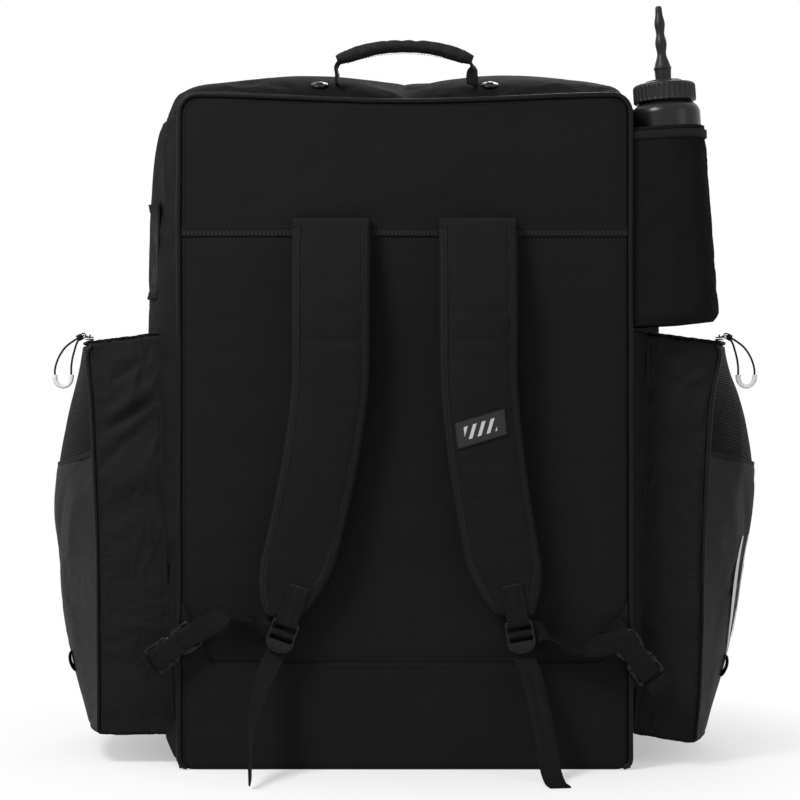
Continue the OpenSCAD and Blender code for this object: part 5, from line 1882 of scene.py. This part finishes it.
def pocket_gusset(word, side):
    """The pocket's back and front faces, each its own sheet of cloth, down to the floor's level."""
    heights = np.linspace(pocket_z - pocket_t, pocket_top_z + 0.0050, 190)
    rolled_in, sunk, welt_r = 0.0075, 0.0012, 0.0032
    for part, y, turn in (("back", pocket_back, 1), ("front", pocket_front, -1)):
        t, z = np.meshgrid(np.linspace(0, 1, 70), heights)
        rise = top_slope * limited((z - mesh_z) / (pocket_top_z - mesh_z)) ** 2 * (1 - t)
        x = side * mix(wall_x(y, z) - 0.010, pocket_edge(z) - rest_gap, t)
        inner = inside_edges(z.shape, 0.10)
        points = xyz(x, y, z + rise)
        soft = 0.0011 * rough(points * [1.3, 1, 0.4], 0.08, 81 + side + turn)
        out = soft + folds(x, z, WELT_FOLDS[side]) * (1.0 if part == "back" else 0.5)
        # The top edge rolls over into the lid
        roll = limited((z - pocket_top_z + 0.0015) / 0.0065)
        points[..., 1] += turn * (rolled_in * (1 - quarter(roll)) - inner * (out + sunk) - sunk)
        sheet = grid(f"{word}_pocket_{part}", oriented(points, side * turn))
        crumple(sheet, growth=0.012, cap=0.0022, frames=14, bending=1.2)
        thicken(sheet, 0.0014)
        fit(sheet, "pocket_fabric", "bag", *([f"{word}_pocket_gusset"] if part == "back" else []))
        z = np.linspace(pocket_z - pocket_t, pocket_top_z + top_slope, 120)
        seam = xyz(side * (wall_x(y, z) - 0.0010), y - turn * sunk, z)
        seam[:, 0] += side * 0.0006 * wavy(seam, 0.05, 87)
        welt = tube(f"{word}_pocket_{part}_welt", seam, welt_r, 12, (1.0, 0.0, 0.0))
        fit(welt, "pocket_fabric", "bag")
        line = seam[3:-3] + [side * 0.0052, turn * 0.0002, 0]
        sew(f"{word}_pocket_{part}_welt_stitches", [(line, -turn * TO_DOOR)])


def pocket_slab(word, side, part, wall_z, rim_z, outline_z, thick, nodes=()):
    """A level or sloping sheet from the bag's wall to the pocket's outline."""
    y, t = np.meshgrid(pocket_depths(90), np.linspace(0, 1, 34))
    x = side * mix(wall_x(y, wall_z), outer_x(y, outline_z), t)
    z = mix(wall_z, rim_z, t) + thick
    points = xyz(x, y, z)
    inner = inside_edges(t.shape, 0.12)
    points[..., 2] -= inner * (0.0018 + 0.0010 * rough(points, 0.06, 91 + side))
    sheet = grid(f"{word}_pocket_{part}", points, flip=(side < 0) != (part == "floor"))
    crumple(sheet, growth=0.012, cap=0.0014, frames=12)
    thicken(sheet, 0.002)
    fit(sheet, "pocket_fabric", "bag", *nodes)


def pocket_outer(word, side):
    y, up = np.meshgrid(pocket_depths(110), np.linspace(0, 1, 130))
    z = mix(pocket_z - pocket_t, mesh_line(y), up)
    points = xyz(side * outer_x(y, np.maximum(z, pocket_z)), y, z)
    points = oriented(points, side)
    inner = inside_edges(up.shape, 0.1)
    hang = limited((points[..., 2] - pocket_z) / (mesh_z - pocket_z))
    soft = 0.0015 * rough(points * [1, 1.5, 0.25], 0.08, 101 + side, 2) * (0.4 + 0.8 * hang)
    ridge = folds(points[..., 1], points[..., 2], [(-0.150, 0.350, -0.085, 0.190, 0.011, 0.0034),
                                                  (-0.120, 0.345, -0.050, 0.220, 0.009, -0.0022),
                                                  (0.120, 0.350, 0.060, 0.190, 0.011, 0.0030)])
    points = points + grid_normals(points) * (inner * (soft + ridge))[..., None]
    sheet = grid(f"{word}_pocket_face", points)
    crumple(sheet, growth=0.010, cap=0.002, frames=12, bending=1.0)
    thicken(sheet, 0.0016)
    # The outer face's colour is painted lighter than the pocket's other cloth, as painted light
    fit(sheet, "pocket_face", "bag", f"{word}_pocket_outer")
    return surface_of(sheet)


def mesh_point(y, z, side):
    return xyz(side * (outer_x(y, z) - 0.0002), y, z)


def pocket_mesh(word, side, pitch=0.0034, open_share=0.62):
    """Netting with six-sided holes between the outer face and the zip."""
    width, height = pocket_d - 0.002, pocket_top_z - mesh_z + 0.010
    cols, rows = int(width / pitch), int(height / (pitch * math.sqrt(3) / 2))
    points, index, faces = [], {}, []

    def corner(p):
        key = (round(p[0] * 2e5), round(p[1] * 2e5))
        if key not in index:
            index[key] = len(points)
            points.append(p)
        return index[key]
    side_len = pitch / math.sqrt(3)
    hexagon = [(math.cos(math.radians(a)), math.sin(math.radians(a))) for a in range(30, 390, 60)]
    for i in range(rows):
        for j in range(cols):
            cx = (j + 0.5 + 0.5 * (i % 2)) * pitch
            cy = (i + 0.5) * pitch * math.sqrt(3) / 2
            outer = [corner((cx + side_len * a, cy + side_len * b)) for a, b in hexagon]
            inner = []
            for a, b in hexagon:
                inner.append(len(points))
                points.append((cx + open_share * side_len * a, cy + open_share * side_len * b))
            for k in range(6):
                n = (k + 1) % 6
                faces.append((outer[k], outer[n], inner[n], inner[k]))
    flat = np.array(points)
    share = (flat[:, 1] - flat[:, 1].min()) / (flat[:, 1].max() - flat[:, 1].min())
    y = pocket_back + 0.001 + flat[:, 0] * width / ((cols + 0.5) * pitch)
    z = mix(mesh_line(y), pocket_top_z, share)
    place = mesh_point(y, z, side)
    place[:, 0] += side * 0.0014 * wavy(place, 0.05, 111)
    if side < 0:
        faces = [f[::-1] for f in faces]
    uvs = [tuple(flat[v]) for f in faces for v in f]
    net = thicken(make(f"{word}_pocket_netting", place, faces, uvs), 0.0006)
    fit(net, "mesh", "bag", f"{word}_pocket_mesh")
    # A dark sheet hangs behind the netting as painted shade: it stands in for the shaded inside of the
    # pocket
    y, t = np.meshgrid(pocket_depths(60), np.linspace(0, 1, 30))
    z = mix(mesh_line(y) - 0.006, pocket_top_z, t)
    lining = xyz(side * (outer_x(y, z) - 0.0042), y, z)
    lining = thicken(grid(f"{word}_pocket_lining", oriented(lining, side)), 0.0008)
    fit(lining, "lining", "bag")
    # A narrow binding covers the seam between the netting and the cloth below it
    y = np.linspace(pocket_back + 0.001, pocket_front - 0.001, 90)
    line = xyz(side * (outer_x(y, mesh_line(y)) + 0.0009), y, mesh_line(y))
    strip = sweep(f"{word}_pocket_mesh_binding", line, UP, flat_profile(0.007, 0.0011))
    fit(strip, "pocket_fabric", "bag")


def pocket_edges(word, side):
    """Piping down the pocket's back and front edges."""
    for part, y, shift in (("back", pocket_back, -0.0018), ("front", pocket_front, 0.0018)):
        z = np.linspace(pocket_z - pocket_t + 0.001, pocket_top_z, 160)
        path = xyz(side * (pocket_edge(z) + 0.0018), y + shift, z)
        path[:, 0] += side * 0.0009 * wavy(path, 0.07, 121)
        path[:, 1] += 0.0006 * wavy(path, 0.05, 123)
        # The top of the edge bends over towards the zip
        bend = limited((z - pocket_top_z + 0.014) / 0.014) ** 2
        path[:, 0] -= side * 0.0065 * bend
        run = tube(f"{word}_pocket_{part}_piping", path, 0.0024, 12, (1.0, 0.0, 0.0))
        fit(run, "piping", "bag", *([f"{word}_pocket_piping"] if part == "back" else []))
        out = -1.0 if part == "back" else 1.0
        line = path[4:-4] + [-side * 0.0062, 0, 0]
        line[:, 1] = y + out * 0.0006
        sew(f"{word}_pocket_{part}_stitches", [(line, out * TO_DOOR)])


def pocket_zip(word, side):
    y = np.linspace(pocket_back + 0.004, pocket_front - 0.004, 140)
    slope = math.atan((top_slope - 0.0002) / 0.1)
    inside = 0.005
    x = outer_x(y, pocket_top_z) - inside
    z = low(f"{word}_pocket_zip").z + 0.0012 + inside * math.tan(slope)
    path = xyz(side * x, y, z)
    normal = unit(np.array([side * math.sin(slope), 0, math.cos(slope)]))
    zip_track(f"{word}_pocket_zip", path, normal, "bag", 0.010, f"{word}_pocket_zip")


def pocket_slider(word, side):
    node = f"{word}_pocket_slider"
    # The slider's own X runs along the zip
    turn = Matrix.Rotation(math.pi / 2 - side * slider_turn, 4, "Z")
    at = at_slider([(-slider_r, 0, 0)], side)[0]
    place = Matrix.Translation((at[0], at[1], at[2] + 0.0012)) @ turn
    body = slider_body(f"{node}_a", 0.014, 0.0098, place)
    ring_at = at_slider([(-slider_r - 0.008, 0, 0.0053)], side)[0]
    a = np.linspace(0, 2 * np.pi, 33)[:-1]
    out = at_slider([(-slider_r - 1.0, 0, 0.0)], side)[0] - at_slider([(-slider_r, 0, 0.0)], side)[0]
    out = unit(np.array([out[0], out[1], 0]))
    ring_r = 0.0029
    circle = ring_at + ring_r * (np.cos(a)[:, None] * out + np.sin(a)[:, None] * UP)
    side_dir = np.cross(out, [0, 0, 1.0])
    profile = round_profile(0.0008, 10)
    radial = unit(circle - ring_at)
    rings = circle[:, None] + profile[None, :, :1] * radial[:, None] + profile[None, :, 1:] * side_dir
    closed = grid(f"{node}_b", np.concatenate([rings, rings[:1]]), wrap=True)
    neck = tube(f"{node}_c", np.linspace(at + [0, 0, 0.0030], ring_at - out * ring_r, 8), 0.0009, 8,
                (0.1, 0.1, 1))
    whole = join(f"{node}_metal", [body, closed, neck])
    face_outward(whole)
    fit(whole, "slider", node, node)


def pocket_tab(word, side):
    """A small folded tab in the seam, low on the pocket's outer face."""
    y = pocket_mid - 0.060
    z = np.linspace(0.098, 0.122, 14)
    out = 0.0045 * np.sin(np.linspace(0, np.pi, 14)) ** 0.6
    path = xyz(side * (outer_x(y, z) + 0.0012 + out), y, z)
    tab = sweep(f"{word}_pocket_tab", path, TO_DOOR, flat_profile(0.018, web_t))
    fit(tab, "webbing", "bag")


def pocket_stripes(word, side, face):
    """Plain white curved stripes printed on the outer face."""
    stripe_top, stripe_foot = 0.262, 0.120
    t = np.linspace(0, 1, 70)
    for k, (start, width) in enumerate(((pocket_mid - 0.088, 0.011), (pocket_mid - 0.062, 0.007))):
        z = mix(stripe_top, stripe_foot + 0.02 * k, t)
        y = start + 0.034 * (t - 0.45) ** 2 + 0.012 * t
        w = width * (0.25 + 0.75 * np.sin(np.pi * np.clip(t * 0.9 + 0.05, 0, 1)))
        across = np.linspace(-0.5, 0.5, 9)[None, :]
        yy = y[:, None] + w[:, None] * across
        zz = np.repeat(z[:, None], 9, axis=1)
        points = xyz(side * (outer_x(yy, zz) + 0.003), yy, zz)[::-1]
        for p in points.reshape(-1, 3):
            hit = face.ray_cast(Vector((p[0] + side * 0.05, p[1], p[2])), Vector((-side, 0, 0)))[0]
            if hit is not None:
                p[0] = hit.x + side * 0.0003
        stripe = thicken(grid(f"{word}_pocket_stripe_{k + 1}", oriented(points, side)), 0.0004, 1.0)
        fit(stripe, "white_print", "bag")


# How far a pocket's outer face and its piping are drawn in at a height, in metres
FACE_IN = {1: [(0.00, 0.023), (0.06, 0.021), (0.10, 0.018), (0.15, 0.0175), (0.20, 0.016), (0.24, 0.0135),
               (0.30, 0.003), (0.35, -0.005), (0.42, -0.004), (0.47, 0.0)],
           -1: [(0.00, 0.005), (0.09, 0.003), (0.15, 0.004), (0.20, 0.007), (0.24, 0.009), (0.29, 0.001),
                (0.34, 0.0)]}
PIPING_IN = {1: [(0.00, 0.022), (0.04, 0.018), (0.09, 0.012), (0.16, 0.010), (0.42, 0.010), (0.50, 0.0)],
             -1: [(0.00, 0.0)]}


floor_drop = 0.010


def eased(z, pairs):
    """A table's value at a height, with its corners smoothed out."""
    at, much = zip(*pairs)
    return sum(np.interp(z + d, at, much) for d in np.linspace(-0.02, 0.02, 9)) / 9


def settle_pockets():
    """The soft pockets sag: both are drawn in low down, and the right one's floor hangs lower."""
    for obj in [o for o in scene.objects if "_pocket_" in o.name and o.type == "MESH"]:
        if obj.name in frame["nodes"] or obj.get("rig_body") != "bag" or "slider" in obj.name:
            continue
        side = 1 if obj.name.startswith("right") else -1
        mesh = obj.data
        co = coords(mesh)
        x, z = np.abs(co[:, 0]), co[:, 2].copy()
        rim = pocket_edge(z)
        share = limited((x - edge_x - 0.012) / (rim - edge_x - 0.012))
        beyond = limited((x - rim) / 0.036)
        co[:, 0] -= side * mix(share * eased(z, PIPING_IN[side]), eased(z, FACE_IN[side]), beyond)
        if side > 0:
            co[:, 2] -= floor_drop * limited((x - edge_x - 0.010) / 0.085) * limited((0.20 - z) / 0.16)
        mesh.vertices.foreach_set("co", co.ravel())
        mesh.update()


for word, side in SIDES.items():
    pocket_gusset(word, side)
    pocket_slab(word, side, "lid", pocket_top_z + top_slope, pocket_top_z + 0.0002, pocket_top_z, pocket_t,
                (f"{word}_pocket_top",))
    pocket_slab(word, side, "floor", pocket_z - pocket_t, pocket_z - pocket_t, pocket_z, 0.0)
    face = pocket_outer(word, side)
    pocket_mesh(word, side)
    pocket_edges(word, side)
    pocket_zip(word, side)
    pocket_slider(word, side)
    pocket_tab(word, side)
    if side > 0:
        pocket_stripes(word, side, face)
settle_pockets()


# ---------- bottle and its sleeve ----------

bottle_r = 0.040
bottle_lean = math.radians(4)
bottle_y = back_y + bottle_r + 0.008
bottle_x = edge_x + bottle_r + 0.023
sleeve_z = lid_z + 0.011
sleeve_h = 0.230
sleeve_t = 0.0024
bottle_base = np.array([bottle_x, bottle_y, sleeve_z + sleeve_t + 0.0004])
BOTTLE = Matrix.Translation(bottle_base.tolist()) @ Matrix.Rotation(-bottle_lean, 4, "Y")
bottle_h = 0.257
shoulder_h = 0.014
cap_floor = bottle_h + 0.001
cap_h = 0.022
cap_r = 0.0365


def bottle():
    side_z = bottle_h - shoulder_h
    a = np.linspace(0, np.pi / 2, 14)
    shoulder = [(bottle_r - shoulder_h * (1 - math.cos(t)), side_z + shoulder_h * math.sin(t)) for t in a]
    profile = [(0.0002, 0.0012), (0.024, 0.0006), (0.032, 0.0), (0.037, 0.0012), (0.0394, 0.0045),
               (0.040, 0.010), (0.040, 0.060), (0.0397, 0.120), (0.0399, 0.180), (0.040, 0.225)] + shoulder
    # The shoulder stops at the neck
    profile = [p for p in profile if p[0] > 0.0305 or p[1] < 0.1]
    profile += [(0.0302, bottle_h - 0.0004), (0.030, bottle_h + 0.0008), (0.0298, bottle_h + 0.016)]
    body = thicken(lathe("bottle_shell", profile, 128), 0.0014)
    fit(placed(body, BOTTLE), "bottle", "bottle", "bottle_body")


def cap():
    """The screw cap: thirty six wide ribs, a raised disc on top."""
    def ribs(a, z):
        tall = limited((z - 0.0012) / 0.0014) * limited((cap_h - 0.0032 - z) / 0.002)
        wave = np.clip(np.cos(a * 36) * 1.6, -1, 1)
        return 1 + 0.016 * (wave - 1) * tall
    edge = [(0.0312, 0.0), (0.0358, 0.0), (0.0364, 0.0008), (cap_r, 0.0016)]
    edge += [(cap_r, z) for z in np.linspace(0.0022, cap_h - 0.005, 12)]
    edge += [(cap_r - 0.0002, cap_h - 0.0040), (cap_r - 0.0010, cap_h - 0.0024),
             (cap_r - 0.0026, cap_h - 0.0010), (cap_r - 0.005, cap_h - 0.0002), (0.028, cap_h),
             (0.0222, cap_h + 0.0002), (0.0220, cap_h + 0.0024), (0.0212, cap_h + 0.0030),
             (0.0105, cap_h + 0.0030), (0.0088, cap_h + 0.0030)]
    profile = [(r, z + cap_floor) for r, z in edge]
    piece = lathe("bottle_cap_ribbed", profile, 432, lambda a, z: ribs(a, z - cap_floor))
    thicken(piece, 0.0016)
    fit(placed(piece, BOTTLE), "cap", "cap", "bottle_cap")


def spout():
    """A stem through the cap, a flange, and a straw with two soft bulges."""
    base = cap_floor + cap_h + 0.003
    stem, stem_h, flange = 0.0094, 0.014, 0.002
    foot = stem_h + flange
    tip = (high("drinking_spout").z - bottle_base[2]) / math.cos(bottle_lean) - base - foot
    profile = [(0.0002, -0.012), (stem, -0.012), (stem, stem_h - 0.0012), (stem + 0.0006, stem_h - 0.0004),
               (stem + 0.0011, stem_h + 0.0004), (stem + 0.0011, stem_h + 0.0014), (stem + 0.0005, foot)]
    # The straw, as shares of its length and radii in millimetres
    for share, r in ((0.03, 9.1), (0.09, 7.9), (0.15, 6.2), (0.2, 5.3), (0.25, 5.3), (0.31, 6.1),
                     (0.37, 7.0), (0.45, 6.4), (0.5, 5.1), (0.55, 4.7), (0.6, 5.2), (0.68, 6.2),
                     (0.72, 6.3), (0.79, 5.4), (0.85, 4.1), (0.95, 4.1), (0.985, 3.5), (1.0, 2.4),
                     (1.0, 0.1)):
        profile.append((r * 0.001, foot + tip * share))
    piece = lathe("drinking_spout_moulded", [(r, z + base) for r, z in profile], 64)
    m = piece.modifiers.new("smooth", "SUBSURF")
    m.levels = m.render_levels = 1
    fit(placed(piece, BOTTLE), "spout", "spout", "drinking_spout")


def bottle_sleeve():
    """A knitted half tube: flat from the back piping, round the bottle, and back to the wall."""
    r = bottle_r + 0.001 + sleeve_t
    rows, n = 96, 120
    heights = np.linspace(-sleeve_t, sleeve_h - sleeve_t, rows)
    rings = []
    for h in heights:
        flare = 0.002 * (1 - h / sleeve_h)
        centre = np.array(BOTTLE @ Vector((0, 0, h)))
        radius = (r + flare) * (1 - 0.16 * limited((0.010 - h) / 0.012) ** 2)
        a = np.linspace(-np.pi / 2, np.pi / 2 + 0.5, 90)
        arc = xyz(centre[0] + radius * np.cos(a), centre[1] + radius * np.sin(a), centre[2])
        start = np.array([edge_x + 0.0012, back_y + 0.0035, centre[2]])
        wall_y = centre[1] + radius + 0.006
        sunk = float(1 - dent(wall_y, centre[2]))
        wall_at = edge_x + float(side_rise(centre[2]) * crown(wall_y)) * sunk + 0.001
        wall = np.array([wall_at, wall_y, centre[2]])
        ring = np.vstack([start, arc, wall])
        rings.append(even(ring, n))
    points = np.array(rings)
    lean = np.tan(bottle_lean) * (points[..., 0] - bottle_x)
    points[..., 2] += lean
    inner = inside_edges((rows, n), 0.06)
    uneven = inner * 0.0008 * rough(points * [1, 1, 0.6], 0.06, 131)
    points = points + grid_normals(points) * uneven[..., None]
    sleeve = grid("bottle_sleeve_knit", points)
    pins = 1 - inside_edges((rows, n), 0.05)
    crumple(sleeve, growth=0.008, cap=0.0015, frames=12, pins=pins.ravel())
    thicken(sleeve, 0.0018)
    fit(sleeve, "sleeve_knit", "bag", "bottle_sleeve")
    # The rim's folded band, with a row of stitches
    top = points[-5] + grid_normals(points)[-5] * 0.0008
    rim = sweep("bottle_sleeve_rim", top, UP, flat_profile(0.0095, 0.0022, 0.0003))
    fit(rim, "binding", "bag")
    normal = grid_normals(points)[-5]
    sew("bottle_sleeve_rim_stitches", [(top + normal * 0.0013 - [0, 0, 0.0034], normal)])
    # The closed bottom
    ring = points[0]
    centre = ring.mean(axis=0) - [0, 0, 0.002]
    shares = np.linspace(1, 0.02, 14)[:, None, None]
    bottom = centre + (ring - centre) * shares
    sheet = thicken(grid("bottle_sleeve_bottom", bottom, flip=True), 0.0018)
    fit(sheet, "sleeve_knit", "bag")


bottle()
cap()
spout()
bottle_sleeve()


# ---------- pieces kept from the frame ----------

for node, finish in (("back_foam", "foam"), ("frame_sheet", "board"), ("base_board", "board")):
    kept = frame["nodes"][node]
    kept.data.materials.clear()
    kept.data.materials.append(MATERIALS[finish])


# ---------- floor, light and background ----------

floor_reach = 9
floor_grey = 0.86
glow_starts, glow_full, glow_near = 0.30, 0.62, 0.45


def seen_by(tree, *rays):
    """1 for these kinds of ray and 0 for any other, so that what they see can be plain white."""
    path = add_node(tree, "LightPath")
    total = path.outputs[f"Is {rays[0]} Ray"]
    for ray in rays[1:]:
        both = {0: total, 1: path.outputs[f"Is {ray} Ray"]}
        total = add_node(tree, "Math", both, operation="MAXIMUM").outputs[0]
    return total


def stage_floor():
    """A pale floor that keeps the shadow and turns plain white away from the bag."""
    n = floor_reach
    floor = grid("floor", [[(-n, -n, 0), (n, -n, 0)], [(-n, n, 0), (n, n, 0)]])
    mat = bpy.data.materials.new("floor")
    mat.use_nodes = True
    tree = mat.node_tree
    bsdf = tree.nodes["Principled BSDF"]
    bsdf.inputs["Base Color"].default_value = (floor_grey, floor_grey, floor_grey, 1)
    bsdf.inputs["Roughness"].default_value = 0.9
    bsdf.inputs["Specular IOR Level"].default_value = 0.0
    where = add_node(tree, "TexCoord")
    far = add_node(tree, "VectorMath", {0: where.outputs["Object"]}, operation="LENGTH")
    ramp = add_node(tree, "MapRange", {"Value": far.outputs["Value"], "From Min": glow_starts,
                                       "From Max": glow_full, "To Min": glow_near})
    gate = add_node(tree, "Math", {0: seen_by(tree, "Camera", "Glossy"), 1: ramp.outputs["Result"]},
                    operation="MULTIPLY")
    glow = add_node(tree, "Emission")
    blend = add_node(tree, "MixShader", {"Fac": gate.outputs[0], 1: bsdf.outputs[0], 2: glow.outputs[0]})
    tree.links.new(blend.outputs[0], tree.nodes["Material Output"].inputs["Surface"])
    floor.data.materials.append(mat)


def surroundings(level):
    """A plain white surround: full white where it is seen, and this level as light."""
    world = bpy.data.worlds.new("studio")
    scene.world = world
    world.use_nodes = True
    tree = world.node_tree
    background = tree.nodes["Background"]
    background.inputs["Color"].default_value = (1, 1, 1, 1)
    seen = seen_by(tree, "Camera", "Glossy", "Transmission")
    strength = add_node(tree, "MapRange", {"Value": seen, "To Min": level, "To Max": 1.0})
    tree.links.new(strength.outputs["Result"], background.inputs["Strength"])


def lamp(name, place, target, size, power):
    data = bpy.data.lights.new(name, "AREA")
    data.shape = "DISK"
    data.size = size
    data.energy = power
    obj = bpy.data.objects.new(name, data)
    scene.collection.objects.link(obj)
    obj.location = place
    obj.rotation_euler = (Vector(target) - Vector(place)).to_track_quat("-Z", "Y").to_euler()


stage_floor()
surroundings(0.42)
lamp("key", (-1.0, -1.25, 1.85), (-0.1, -0.2, 0.5), 0.8, 41)
lamp("fill", (2.2, -1.9, 1.1), (0, 0, 0.4), 1.5, 8)
lamp("back", (0.6, 2.4, 2.2), (0, 0, 0.45), 1.4, 26)

scene.view_settings.view_transform = "Standard"
